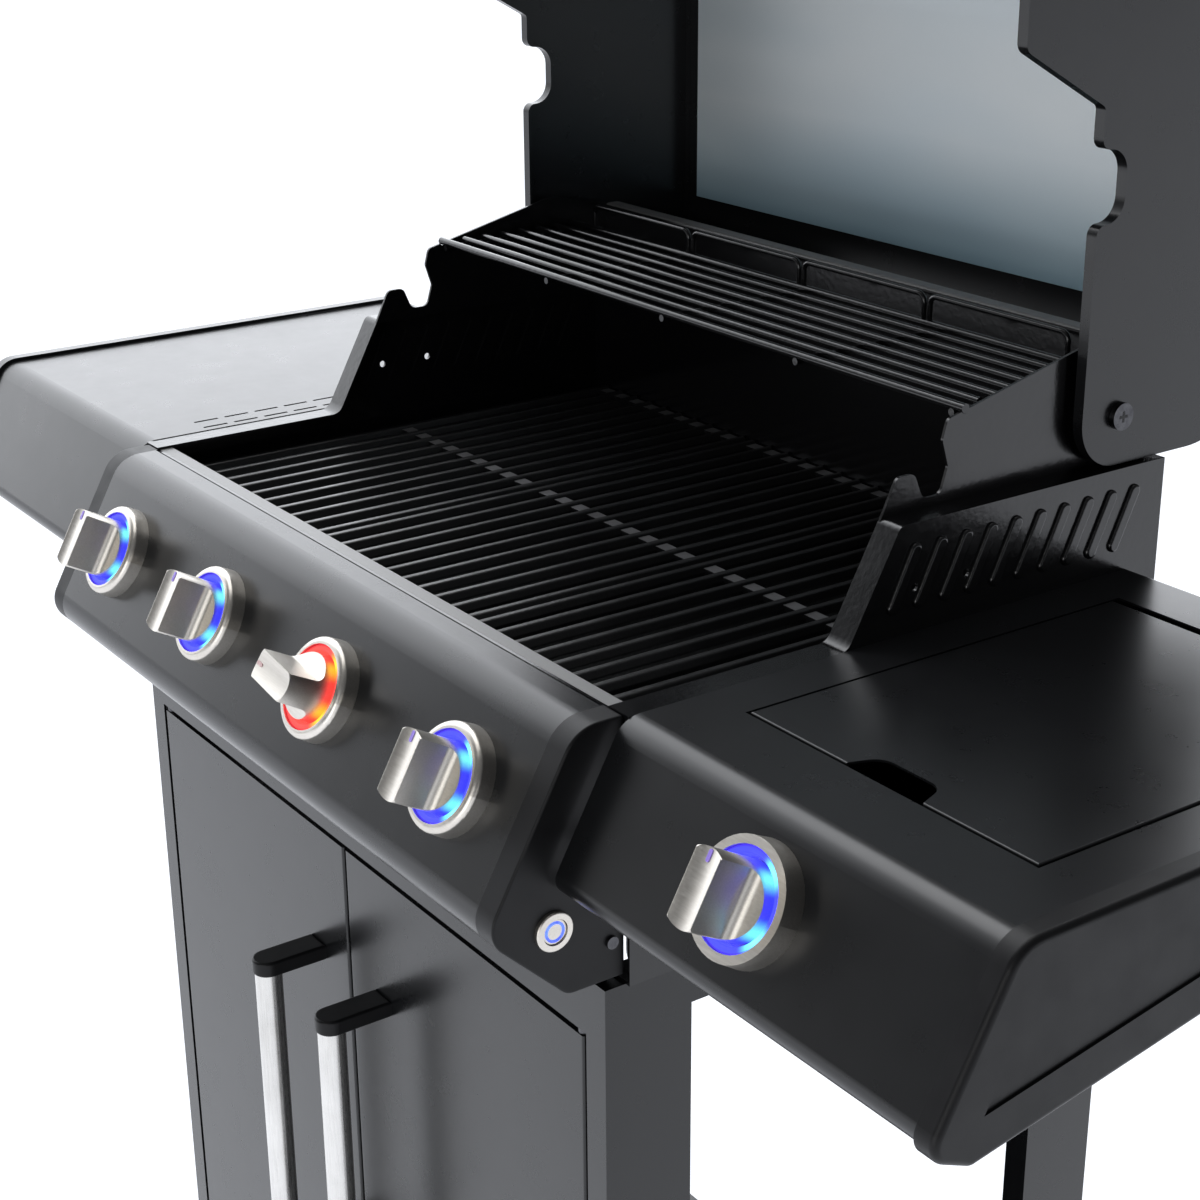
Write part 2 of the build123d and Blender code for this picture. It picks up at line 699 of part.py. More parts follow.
# Hood end plates: flanged plates that turn on the pivots
SLOPE_SHIFT = LID_CLEAR / cos(radians(90 - 61.5))
LID_BOTTOM = PIVOT[1] - LID_EAR
LID_BACK = PIVOT[0] + LID_EAR
LID_SLOPE_FOOT = (SIDE_RIM_Y - SLOPE_SHIFT + (LID_LOW - SIDE_RIM_HEIGHT) * SLOPE, LID_LOW)
LID_SLOPE_TOP = (LID_SLOPE_FOOT[0] + (LID_BOTTOM - LID_LOW) * SLOPE, LID_BOTTOM)
ARCH_BACK = SPIT_ARCH[0] + SPIT_ARCH[1]
ARCH_FRONT = SPIT_ARCH[0] - SPIT_ARCH[1]
ARCH_TOP = LID_BOTTOM + SPIT_ARCH[1]
LID_END_POINTS = [
    (LID_BACK, LID_BOTTOM),
    (ARCH_BACK, LID_BOTTOM),
    (ARCH_BACK, ARCH_TOP),
    (ARCH_FRONT, ARCH_TOP),
    (ARCH_FRONT, LID_BOTTOM),
    LID_SLOPE_TOP,
    LID_SLOPE_FOOT,
    (LID_FRONT, LID_LOW),
    LID_BROW,
    (LID_SHOULDER_Y, LID_TOP),
    (LID_BACK, LID_TOP),
]
ARCH_BENDS = [SPIT_ARCH[2], SPIT_ARCH[1] - SPIT_ARCH[2] - 0.5]
LID_END_RADII = [LID_EAR - 0.01, *ARCH_BENDS, *ARCH_BENDS[::-1], 4, 8, 0, *LID_BENDS]
for name, side in SIDES.items():
    outer_x = LID_OUT if side > 0 else -LID_OUT
    inner_x = LID_HALF if side > 0 else -LID_HALF
    start_x = min(outer_x, inner_x)
    hollow_x = inner_x if side > 0 else outer_x + LID_END_WALL
    with BuildPart() as lid_end:
        extrude(outline(lid_plane(start_x), LID_END_POINTS, LID_END_RADII), amount=LID_END_WIDTH)
        with BuildSketch(lid_plane(hollow_x)):
            with BuildLine():
                FilletPolyline(*LID_END_POINTS, radius=LID_END_RADII, close=True)
            make_face()
            offset(amount=-LID_END_WALL)
        extrude(amount=LID_END_WIDTH - LID_END_WALL, mode=Mode.SUBTRACT)
        rod(lid_plane(start_x), [PIVOT], PIVOT_R + RUN, LID_END_WIDTH, Mode.SUBTRACT)
    save(lid_end, f"lid_end_{name}")

# Hood shell: one folded sheet from the front edge over the top to the back
BROW_SLOPE = (LID_BROW[0] - LID_FRONT) / (LID_BROW[1] - LID_LOW)
FRONT_TILT = Vector(BROW_SLOPE, 1).normalized()
FRONT_NORMAL = (-FRONT_TILT.Y, FRONT_TILT.X)
DIAL_Y = LID_FRONT + (DIAL_HEIGHT - LID_LOW) * BROW_SLOPE
POST_Y = LID_FRONT + (HANDLE_HEIGHT - LID_LOW) * BROW_SLOPE
with BuildPart() as lid_shell:
    extrude(
        strip(
            lid_plane(-LID_HALF),
            [
                (LID_FRONT, LID_LOW),
                LID_BROW,
                (LID_SHOULDER_Y, LID_TOP),
                (LID_BACK, LID_TOP),
                (LID_BACK, LID_REAR_EDGE),
            ],
            LID_BENDS,
            SHEET,
            Side.RIGHT,
        ),
        amount=2 * LID_HALF,
    )
    dial_hole = lid_face_plane(0, DIAL_Y, DIAL_HEIGHT, FRONT_NORMAL)
    rod(dial_hole.offset(-4 * SHEET), [(0, 0)], PROBE_R + LOOSE, 8 * SHEET, Mode.SUBTRACT)
save(lid_shell, "lid_shell")

# Hood liner: bright sheet under the top of the shell
with BuildPart() as lid_liner:
    with BuildSketch(lid_plane(-LID_HALF + LINER_MARGIN)):
        with BuildLine():
            FilletPolyline(*LID_END_POINTS, radius=LID_END_RADII, close=True)
        make_face()
        offset(amount=-SHEET - LOOSE)
        offset(amount=-LINER_SHEET, mode=Mode.SUBTRACT)
        with Locations(((LINER_SPAN[0] + LINER_SPAN[1]) / 2, LID_TOP)):
            Rectangle(LINER_SPAN[1] - LINER_SPAN[0], LID_TOP - LID_BROW[1], mode=Mode.INTERSECT)
    extrude(amount=2 * (LID_HALF - LINER_MARGIN))
save(lid_liner, "lid_liner")

# Hood handle: a bar on two posts
with BuildPart() as lid_handle:
    for x in (-HANDLE_POST_X, HANDLE_POST_X):
        post = lid_face_plane(x, POST_Y, HANDLE_HEIGHT, FRONT_NORMAL)
        rod(post, [(0, 0)], HANDLE_POST_R, HANDLE_STANDOFF)
    bar_y = POST_Y + FRONT_NORMAL[0] * HANDLE_STANDOFF
    bar_z = HANDLE_HEIGHT + FRONT_NORMAL[1] * HANDLE_STANDOFF
    rod(lid_plane(-HANDLE_HALF), [(bar_y, bar_z)], HANDLE_R, 2 * HANDLE_HALF)
    ends = lid_handle.faces().filter_by(Axis.X).sort_by(Axis.X)
    fillet([*ends[0].edges(), *ends[-1].edges()], HANDLE_R / 3)
save(lid_handle, "lid_handle")

# Hood thermometer: dial case and probe
with BuildPart() as thermometer:
    rod(dial_hole, [(0, 0)], DIAL_R, DIAL_DEPTH)
    fillet(thermometer.faces().sort_by(Axis(dial_hole.origin, dial_hole.z_dir))[-1].edges(), 2.5)
    rod(dial_hole.offset(DIAL_DEPTH - 3), [(0, 0)], DIAL_R - 5, DIAL_DEPTH, Mode.SUBTRACT)
    rod(dial_hole.offset(-PROBE_LENGTH), [(0, 0)], PROBE_R, PROBE_LENGTH)
save(thermometer, "thermometer")

# Pivot screws of the hood and the screws of the panel's ends
with BuildPart() as screws:
    for side in SIDES.values():
        x = side * UPPER_IN
        rod(
            side_plane(min(x, side * (LID_OUT + LOOSE))),
            [PIVOT],
            PIVOT_R,
            LID_OUT + LOOSE - UPPER_IN,
        )
        head = LID_OUT + LOOSE if side > 0 else -LID_OUT - LOOSE - PIVOT_HEAD
        rod(side_plane(head), [PIVOT], PIVOT_HEAD_R, PIVOT_HEAD)
        spacer = UPPER_OUT if side > 0 else -UPPER_OUT - PIVOT_SPACER
        rod(side_plane(spacer), [PIVOT], PIVOT_SPACER_R, PIVOT_SPACER)
        cap = PANEL_HALF if side > 0 else -PANEL_HALF - 2
        rod(side_plane(cap), [(PANEL_BACK - 9.5, PANEL_BOTTOM + 25)], 4, 2)
save(screws, "screws")

# Control panel: a folded sheet with a hole for each shaft
PANEL_NOSE_Y = PANEL_BROW - (PANEL_TOP - PANEL_NOSE) * FACE_TAN
PANEL_CHIN_Y = PANEL_NOSE_Y + (PANEL_NOSE - PANEL_BOTTOM) * tan(radians(CHIN_TILT))
PANEL_PATH = [
    (PANEL_BACK, PANEL_TOP),
    (PANEL_BROW, PANEL_TOP),
    (PANEL_NOSE_Y, PANEL_NOSE),
    (PANEL_CHIN_Y, PANEL_BOTTOM),
    (PANEL_BACK, PANEL_BOTTOM),
]
PANEL_INNER = PANEL_HALF - PANEL_END
with BuildPart() as control_panel:
    extrude(
        strip(
            side_plane(-PANEL_INNER),
            [(PANEL_BACK - PANEL_GROOVE, PANEL_TOP), *PANEL_PATH[1:]],
            [BROW_R, NOSE_R, CHIN_R],
            SHEET,
            Side.LEFT,
        ),
        amount=2 * PANEL_INNER,
    )
    for i in range(4):
        rod(knob_plane(i, -4 * SHEET), [(0, 0)], PLUNGER_R + 2, 8 * SHEET, Mode.SUBTRACT)
save(control_panel, "control_panel")

# Panel ends: moulded caps, hollow towards the panel
MANIFOLD_Y, MANIFOLD_Z = behind_face(KNOB_Y, KNOB_HEIGHT, MANIFOLD_DEPTH)
for name, side in SIDES.items():
    start_x = PANEL_INNER if side > 0 else -PANEL_HALF
    hollow_x = PANEL_INNER if side > 0 else -PANEL_HALF + PANEL_END_WALL
    radii = [2, BROW_R, NOSE_R, CHIN_R, 2]
    with BuildPart() as panel_end:
        extrude(outline(side_plane(start_x), PANEL_PATH, radii), amount=PANEL_END)
        outer = panel_end.faces().sort_by(Axis.X)[-1 if side > 0 else 0]
        fillet(outer.edges(), 1.5)
        with BuildSketch(side_plane(hollow_x)):
            with BuildLine():
                FilletPolyline(*PANEL_PATH, radius=radii, close=True)
            make_face()
            offset(amount=-PANEL_END_WALL)
        extrude(amount=PANEL_END - PANEL_END_WALL, mode=Mode.SUBTRACT)
        if side > 0:
            rod(
                side_plane(start_x),
                [(MANIFOLD_Y, MANIFOLD_Z)],
                PIPE_R + LOOSE,
                PANEL_END,
                Mode.SUBTRACT,
            )
            rod(
                side_plane(start_x),
                [(BUTTON_Y, BUTTON_HEIGHT)],
                BUTTON_R + RUN + BUTTON_SLEEVE,
                PANEL_END,
                Mode.SUBTRACT,
            )
    save(panel_end, f"panel_end_{name}")

# Power button: ring with a sleeve, and the button that slides in it
SLEEVE_FRONT = PANEL_HALF + BUTTON_PROUD - BUTTON_LENGTH - BUTTON_ROOM - SHEET
with BuildPart() as button_ring:
    place = [(BUTTON_Y, BUTTON_HEIGHT)]
    rod(side_plane(PANEL_HALF), place, BUTTON_RING_R, BUTTON_RING)
    ring_edge = button_ring.faces().sort_by(Axis.X)[-1].edges()
    fillet(ring_edge, 1.2)
    rod(
        side_plane(SLEEVE_FRONT),
        place,
        BUTTON_R + RUN + BUTTON_SLEEVE,
        PANEL_HALF - SLEEVE_FRONT,
    )
    rod(side_plane(SLEEVE_FRONT + SHEET), place, BUTTON_R + RUN, PANEL_END * 2, Mode.SUBTRACT)
save(button_ring, "button_ring")

with BuildPart() as power_button:
    rod(
        side_plane(PANEL_HALF + BUTTON_PROUD - BUTTON_LENGTH),
        [(BUTTON_Y, BUTTON_HEIGHT)],
        BUTTON_R,
        BUTTON_LENGTH,
    )
    fillet(power_button.faces().sort_by(Axis.X)[-1].edges(), 0.8)
save(power_button, "power_button")

# Knob bezels and the rings that light up inside them
with BuildPart() as knob_bezels:
    for i in range(5):
        with BuildSketch(knob_plane(i)):
            Circle(BEZEL_R)
        extrude(amount=BEZEL_DEPTH, taper=4)
    fillet(knob_bezels.faces().sort_by(Axis((0, 0, 0), (0, -FACE_COS, FACE_SIN)))[-4:].edges(), BEZEL_EDGE)
    for i in range(5):
        rod(knob_plane(i, BEZEL_FLOOR), [(0, 0)], BEZEL_BORE, BEZEL_DEPTH, Mode.SUBTRACT)
        rod(knob_plane(i), [(0, 0)], PLUNGER_R + 1, BEZEL_DEPTH, Mode.SUBTRACT)
save(knob_bezels, "knob_bezels")

with BuildPart() as light_rings:
    for i in range(5):
        with BuildSketch(knob_plane(i, BEZEL_FLOOR)):
            Circle(LIGHT_R)
            Circle(LIGHT_BORE, mode=Mode.SUBTRACT)
        extrude(amount=LIGHT_DEPTH)
save(light_rings, "light_rings")

# Valves: a body on each shaft with a nozzle that feeds its burner
with BuildPart() as valves:
    for i in range(5):
        on_table = i == 4
        face_y = SIDE_KNOB_Y if on_table else KNOB_Y
        face_z = SIDE_KNOB_HEIGHT if on_table else KNOB_HEIGHT
        nozzle_z = SIDE_NOZZLE_HEIGHT if on_table else BURNER_HEIGHT
        rod(knob_plane(i, -MANIFOLD_DEPTH), [(0, 0)], VALVE_R, MANIFOLD_DEPTH + VALVE_TOP)
        stub_y, stub_z = behind_face(face_y, face_z, (MANIFOLD_DEPTH - VALVE_TOP) / 2 - STUB / 2)
        block(
            (KNOB_X[i] - STUB / 2, stub_y - STUB / 2, nozzle_z - STUB / 2),
            (KNOB_X[i] + STUB / 2, stub_y + STUB / 2, stub_z),
        )
        rod(front_plane(stub_y + NOZZLE_LENGTH), [(KNOB_X[i], nozzle_z)], NOZZLE_R, NOZZLE_LENGTH)
        pipe_y, pipe_z = behind_face(face_y, face_z, MANIFOLD_DEPTH)
        rod(
            side_plane(KNOB_X[i] - VALVE_R * 2),
            [(pipe_y, pipe_z)],
            MANIFOLD_R + RUN,
            VALVE_R * 4,
            Mode.SUBTRACT,
        )
        rod(
            knob_plane(i, -VALVE_BORE_DEPTH),
            [(0, 0)],
            PLUNGER_R + RUN,
            VALVE_BORE_DEPTH,
            Mode.SUBTRACT,
        )
save(valves, "valves")

# Gas pipes: manifold with its inlet, and the branch to the side burner
SIDE_PIPE_Y, SIDE_PIPE_Z = behind_face(SIDE_KNOB_Y, SIDE_KNOB_HEIGHT, MANIFOLD_DEPTH)
with BuildPart() as gas_pipes:
    rod(side_plane(-MANIFOLD_HALF), [(MANIFOLD_Y, MANIFOLD_Z)], MANIFOLD_R, 2 * MANIFOLD_HALF)
    tube_along(
        [
            (INLET_X, MANIFOLD_Y, MANIFOLD_Z),
            (INLET_X, MANIFOLD_Y, INLET_BEND),
            (INLET_X, INLET_Y, INLET_BEND),
            (INLET_X, INLET_Y, INLET_LOW),
            (INLET_X, INLET_BACK, INLET_LOW),
        ],
        [16, 16, 16],
        PIPE_R,
    )
    nut_back = INLET_BACK + INLET_NUT
    rod(front_plane(nut_back), [(INLET_X, INLET_LOW)], INLET_NUT_R, INLET_NUT)
    rod(front_plane(nut_back + INLET_LENGTH), [(INLET_X, INLET_LOW)], INLET_R, INLET_LENGTH)
    tube_along(
        [
            (MANIFOLD_HALF - PIPE_R, MANIFOLD_Y, MANIFOLD_Z),
            (FIREBOX_HALF + TABLE_REACH / 4, MANIFOLD_Y, MANIFOLD_Z),
            (SIDE_X - 3 * VALVE_R, SIDE_PIPE_Y, SIDE_PIPE_Z),
            (SIDE_X - VALVE_R, SIDE_PIPE_Y, SIDE_PIPE_Z),
        ],
        [16, 16],
        PIPE_R,
    )
    rod(
        side_plane(SIDE_X - VALVE_R - PIPE_R),
        [(SIDE_PIPE_Y, SIDE_PIPE_Z)],
        MANIFOLD_R,
        2 * (VALVE_R + PIPE_R),
    )
save(gas_pipes, "gas_pipes")

# Plungers and knobs: a knob turns in its plunger, which slides in the valve
for i in range(5):
    turn = KNOB_ON_ANGLE if i == KNOB_TURNED else 0.0
    with BuildPart() as plunger:
        with BuildSketch(knob_plane(i, -PLUNGER_DEPTH)):
            Circle(PLUNGER_R)
            Circle(SHAFT_R + RUN, mode=Mode.SUBTRACT)
        extrude(amount=PLUNGER_DEPTH + PLUNGER_TOP)
    save(plunger, f"valve_plunger_{i + 1}")

    with BuildPart() as knob:
        base = knob_plane(i, KNOB_BASE, turn)
        rod(base, [(0, 0)], KNOB_R, KNOB_LENGTH - KNOB_BASE)
        front = knob.faces().sort_by(Axis(base.origin, base.z_dir))[-1]
        fillet(front.edges(), KNOB_EDGE)
        across = Plane(origin=base.origin, x_dir=base.x_dir, z_dir=base.y_dir)
        grip = KNOB_GRIP / 2
        neck = KNOB_NECK - KNOB_BASE
        reach = KNOB_LENGTH
        for flank in (-1, 1):
            with BuildSketch(across.offset(-KNOB_R * 2)):
                with BuildLine():
                    FilletPolyline(
                        (flank * grip, -reach),
                        (flank * (grip + 1), -neck - 4),
                        (flank * KNOB_R * 1.1, -neck),
                        (flank * KNOB_R * 1.1, -reach),
                        radius=[0, 7, 0, 0],
                        close=True,
                    )
                make_face()
            extrude(amount=KNOB_R * 4, mode=Mode.SUBTRACT)
        with BuildSketch(across.offset(-KNOB_R * 2)):
            with Locations((0, -(KNOB_LENGTH - KNOB_BASE) - KNOB_SCOOP_R + KNOB_EDGE)):
                Circle(KNOB_SCOOP_R)
        extrude(amount=KNOB_R * 4, mode=Mode.SUBTRACT)
        rod(knob_plane(i, -SHAFT_DEPTH, turn), [(0, 0)], SHAFT_R, SHAFT_DEPTH + KNOB_NECK)
    save(knob, f"knob_{i + 1}")

# Side tables: folded tops with moulded ends
TABLE_NOSE_Y = TABLE_BROW - (TABLE_TOP - TABLE_NOSE) * FACE_TAN
TABLE_PATH = [
    (TABLE_BACK, TABLE_TOP - TABLE_BACK_LIP),
    (TABLE_BACK, TABLE_TOP),
    (TABLE_BROW, TABLE_TOP),
    (TABLE_NOSE_Y, TABLE_NOSE),
    TABLE_LIP,
]
OPENING_HALF = FLAP_WIDTH / 2 + FLAP_GAP
OPENING_FRONT = FLAP_FRONT - FLAP_GAP
OPENING_BACK = FLAP_BACK + FLAP_HINGE_ROOM
TABLE_UNDER = TABLE_TOP - SHEET
for name, side in SIDES.items():
    start_x = FIREBOX_HALF if side > 0 else -TABLE_OUT + TABLE_END
    web_x = FIREBOX_HALF if side > 0 else -FIREBOX_HALF - SHEET
    end_x = TABLE_OUT - TABLE_END if side > 0 else -TABLE_OUT
    radii = [3, TABLE_BROW_R, TABLE_NOSE_R]
    with BuildPart() as table:
        extrude(
            strip(side_plane(start_x), TABLE_PATH, radii, SHEET, Side.LEFT),
            amount=TABLE_REACH - TABLE_END,
        )
        block(
            (web_x, TABLE_WEB[0], TABLE_WEB[2]),
            (web_x + SHEET, TABLE_WEB[1], TABLE_UNDER),
        )
        if side < 0:
            with BuildSketch(level_plane(TABLE_TOP - 2 * SHEET)):
                for row in SLOT_ROWS:
                    for slot in range(SLOT_COUNT):
                        with Locations((-FIREBOX_HALF - row, SLOT_FIRST_Y + slot * SLOT_PITCH)):
                            Rectangle(*SLOT_SIZE)
            extrude(amount=3 * SHEET, mode=Mode.SUBTRACT)
        else:
            block(
                (SIDE_X - OPENING_HALF, OPENING_FRONT, TABLE_TOP - 2 * SHEET),
                (SIDE_X + OPENING_HALF, OPENING_BACK, TABLE_TOP + SHEET),
                Mode.SUBTRACT,
            )
            rod(knob_plane(4, -4 * SHEET), [(0, 0)], PLUNGER_R + 2, 8 * SHEET, Mode.SUBTRACT)
    save(table, "left_shelf" if side < 0 else "right_table")

    with BuildPart() as table_end:
        with BuildSketch(side_plane(end_x)):
            with BuildLine():
                FilletPolyline(*TABLE_PATH, radius=[3, 3, TABLE_BROW_R, TABLE_NOSE_R, 3], close=True)
            make_face()
            offset(amount=TABLE_END_PROUD)
        extrude(amount=TABLE_END)
        outer = table_end.faces().sort_by(Axis.X)[-1 if side > 0 else 0]
        fillet(outer.edges(), 4)
        with BuildSketch(side_plane(end_x if side > 0 else end_x + TABLE_END_WALL * 2)):
            with BuildLine():
                FilletPolyline(*TABLE_PATH, radius=[3, 3, TABLE_BROW_R, TABLE_NOSE_R, 3], close=True)
            make_face()
            offset(amount=TABLE_END_PROUD - TABLE_END_WALL)
        extrude(amount=TABLE_END - TABLE_END_WALL * 2, mode=Mode.SUBTRACT)
        with BuildSketch(side_plane(TABLE_OUT - SHEET if side > 0 else -TABLE_OUT)):
            with BuildLine():
                FilletPolyline(*TABLE_PATH, radius=[3, 3, TABLE_BROW_R, TABLE_NOSE_R, 3], close=True)
            make_face()
            offset(amount=-TABLE_INSET)
        extrude(amount=SHEET, mode=Mode.SUBTRACT)
    save(table_end, "left_shelf_end" if side < 0 else "right_table_end")

# Side burner bowl: a deep pan under the table's opening
BOWL_LOW = TABLE_UNDER - BOWL_DEPTH
BURNER_MID = (OPENING_FRONT + OPENING_BACK) / 2
with BuildPart() as side_burner_bowl:
    block(
        (SIDE_X - OPENING_HALF - SHEET, OPENING_FRONT - SHEET, BOWL_LOW),
        (SIDE_X + OPENING_HALF + SHEET, OPENING_BACK + SHEET, TABLE_UNDER),
    )
    block(
        (SIDE_X - OPENING_HALF - BOWL_FLANGE, OPENING_FRONT - BOWL_FLANGE, TABLE_UNDER - SHEET),
        (SIDE_X + OPENING_HALF + BOWL_FLANGE, OPENING_BACK + BOWL_FLANGE, TABLE_UNDER),
    )
    block(
        (SIDE_X - OPENING_HALF, OPENING_FRONT, BOWL_LOW + SHEET),
        (SIDE_X + OPENING_HALF, OPENING_BACK, TABLE_UNDER),
        Mode.SUBTRACT,
    )
    rod(level_plane(BOWL_LOW), [(SIDE_X, BURNER_MID)], SIDE_NECK_R + LOOSE, SHEET, Mode.SUBTRACT)
    rod(
        side_plane(SIDE_X - OPENING_HALF - 2 * SHEET),
        [FLAP_AXIS],
        FLAP_PIN_R + RUN,
        2 * OPENING_HALF + 4 * SHEET,
        Mode.SUBTRACT,
    )
save(side_burner_bowl, "side_burner_bowl")

# Side burner flap: a folded lid with a finger notch and two hinge pins
FLAP_TOP = TABLE_TOP + FLAP_PROUD
FLAP_HALF = FLAP_WIDTH / 2
with BuildPart() as side_burner_flap:
    block(
        (SIDE_X - FLAP_HALF, FLAP_FRONT, FLAP_TOP - FLAP_DEPTH),
        (SIDE_X + FLAP_HALF, FLAP_BACK, FLAP_TOP),
    )
    fillet(side_burner_flap.faces().sort_by(Axis.Z)[-1].edges(), 1.2)
    block(
        (SIDE_X - FLAP_HALF + SHEET, FLAP_FRONT + SHEET, FLAP_TOP - FLAP_DEPTH),
        (SIDE_X + FLAP_HALF - SHEET, FLAP_BACK - SHEET, FLAP_TOP - SHEET),
        Mode.SUBTRACT,
    )
    extrude(
        outline(
            level_plane(FLAP_TOP - FLAP_DEPTH),
            [
                (SIDE_X - NOTCH_WIDTH / 2, FLAP_FRONT - FLAP_GAP),
                (SIDE_X + NOTCH_WIDTH / 2, FLAP_FRONT - FLAP_GAP),
                (SIDE_X + NOTCH_WIDTH / 2 - 8, FLAP_FRONT + NOTCH_DEPTH),
                (SIDE_X - NOTCH_WIDTH / 2 + 8, FLAP_FRONT + NOTCH_DEPTH),
            ],
            [0, 0, 12, 12],
        ),
        amount=FLAP_DEPTH,
        mode=Mode.SUBTRACT,
    )
    for side in SIDES.values():
        inner = SIDE_X + side * (FLAP_HALF - SHEET)
        outer = SIDE_X + side * (OPENING_HALF + SHEET)
        rod(side_plane(min(inner, outer)), [FLAP_AXIS], FLAP_PIN_R, abs(outer - inner))
save(side_burner_flap, "side_burner_flap")

# Side burner: venturi, neck and head, with the pan support over it
BOWL_FLOOR = BOWL_LOW + SHEET
with BuildPart() as side_burner:
    rod(
        front_plane(BURNER_MID),
        [(SIDE_X, SIDE_NOZZLE_HEIGHT)],
        VENTURI_R,
        BURNER_MID - VENTURI_FRONT,
    )
    rod(
        level_plane(SIDE_NOZZLE_HEIGHT - VENTURI_R),
        [(SIDE_X, BURNER_MID)],
        SIDE_NECK_R,
        BOWL_FLOOR - SIDE_NOZZLE_HEIGHT + VENTURI_R,
    )
    rod(
        front_plane(BURNER_MID - SIDE_NECK_R),
        [(SIDE_X, SIDE_NOZZLE_HEIGHT)],
        VENTURI_R - SHEET,
        BURNER_MID - VENTURI_FRONT,
        Mode.SUBTRACT,
    )
    rod(level_plane(BOWL_FLOOR), [(SIDE_X, BURNER_MID)], SIDE_HEAD_R, SIDE_HEAD)
    rod(level_plane(BOWL_FLOOR + SIDE_HEAD), [(SIDE_X, BURNER_MID)], SIDE_CAP_R, SIDE_CAP)
    fillet(side_burner.faces().sort_by(Axis.Z)[-1].edges(), 2)
    for spin in range(4):
        reach = (SUPPORT_HALF, SUPPORT_BAR / 2)
        run_x, run_y = reach if spin % 2 == 0 else reach[::-1]
        sign = 1 if spin < 2 else -1
        near = SUPPORT_HALF - SUPPORT_FINGER
        if spin % 2 == 0:
            low = (SIDE_X + sign * near, BURNER_MID - run_y, SUPPORT_TOP - SUPPORT_BAR)
            high = (SIDE_X + sign * run_x, BURNER_MID + run_y, SUPPORT_TOP)
            foot_low = (SIDE_X + sign * (run_x - SUPPORT_BAR), BURNER_MID - run_y, BOWL_FLOOR)
        else:
            low = (SIDE_X - run_x, BURNER_MID + sign * near, SUPPORT_TOP - SUPPORT_BAR)
            high = (SIDE_X + run_x, BURNER_MID + sign * run_y, SUPPORT_TOP)
            foot_low = (SIDE_X - run_x, BURNER_MID + sign * (run_y - SUPPORT_BAR), BOWL_FLOOR)
        block(low, high)
        block(foot_low, high)
    with BuildSketch(level_plane(BOWL_FLOOR)):
        with Locations((SIDE_X, BURNER_MID)):
            Rectangle(2 * SUPPORT_HALF, 2 * SUPPORT_HALF)
            Rectangle(
                2 * (SUPPORT_HALF - SUPPORT_BAR),
                2 * (SUPPORT_HALF - SUPPORT_BAR),
                mode=Mode.SUBTRACT,
            )
    extrude(amount=SUPPORT_BAR)
save(side_burner, "side_burner")

# Cart legs: channels that open to the inside
RAIL_LOW = END_BOTTOM - RAIL_HEIGHT
with BuildPart() as cart_legs:
    for side in SIDES.values():
        for y in (CART_FRONT, CART_BACK - LEG_DEPTH):
            inner = side * (CART_HALF - LEG_WIDTH)
            block((inner, y, BASE_TOP), (side * CART_HALF, y + LEG_DEPTH, RAIL_LOW))
            block(
                (inner, y + LEG_WALL, BASE_TOP),
                (side * (CART_HALF - LEG_WALL), y + LEG_DEPTH - LEG_WALL, RAIL_LOW),
                Mode.SUBTRACT,
            )
save(cart_legs, "cart_legs")

# Cart rails: two side rails, a front rail over the doors and a rear rail
with BuildPart() as cart_rails:
    half = CART_HALF - LEG_WIDTH
    for side in SIDES.values():
        block((side * half, CART_FRONT, RAIL_LOW), (side * CART_HALF, CART_BACK, END_BOTTOM))
        block(
            (side * (half + LEG_WALL), CART_FRONT + LEG_WALL, RAIL_LOW + LEG_WALL),
            (side * (CART_HALF - LEG_WALL), CART_BACK, END_BOTTOM - LEG_WALL),
            Mode.SUBTRACT,
        )
    for y, low, top in (
        (CART_FRONT, FRONT_RAIL_BOTTOM, PANEL_BOTTOM),
        (CART_BACK - FRONT_RAIL_DEPTH, REAR_RAIL_TOP - RAIL_HEIGHT, REAR_RAIL_TOP),
    ):
        with BuildSketch(side_plane(-half)):
            with Locations((y + FRONT_RAIL_DEPTH / 2, (low + top) / 2)):
                Rectangle(FRONT_RAIL_DEPTH, top - low)
                Rectangle(
                    FRONT_RAIL_DEPTH - 2 * LEG_WALL,
                    top - low - 2 * LEG_WALL,
                    mode=Mode.SUBTRACT,
                )
        extrude(amount=2 * half)
save(cart_rails, "cart_rails")

# Bottom shelf: a tray turned down with a pressed middle, and a block for each caster stem
CASTER_X = CART_HALF - CASTER_INSET
CASTER_Y = (CART_FRONT + CASTER_INSET, CART_BACK - CASTER_INSET)
BASE_LOW = BASE_TOP - BASE_SKIRT
CASTER_PLACES = [(x, y) for y in CASTER_Y for x in (-CASTER_X, CASTER_X)]
with BuildPart() as bottom_shelf:
    block((-CART_HALF, CART_FRONT, BASE_LOW), (CART_HALF, CART_BACK, BASE_TOP))
    block(
        (-CART_HALF + SHEET, CART_FRONT + SHEET, BASE_LOW),
        (CART_HALF - SHEET, CART_BACK - SHEET, BASE_TOP - SHEET),
        Mode.SUBTRACT,
    )
    pad_x = CART_HALF - BASE_PAD_EDGE
    block(
        (-pad_x, CART_FRONT + BASE_PAD_EDGE, BASE_TOP),
        (pad_x, CART_BACK - BASE_PAD_EDGE, BASE_TOP + BASE_PAD),
    )
    for x, y in CASTER_PLACES:
        reach = CASTER_BLOCK / 2
        block((x - reach, y - reach, BASE_LOW), (x + reach, y + reach, BASE_TOP - SHEET))
    rod(level_plane(BASE_LOW), CASTER_PLACES, STEM_R + RUN, STEM_LENGTH + LOOSE, Mode.SUBTRACT)
save(bottom_shelf, "bottom_shelf")

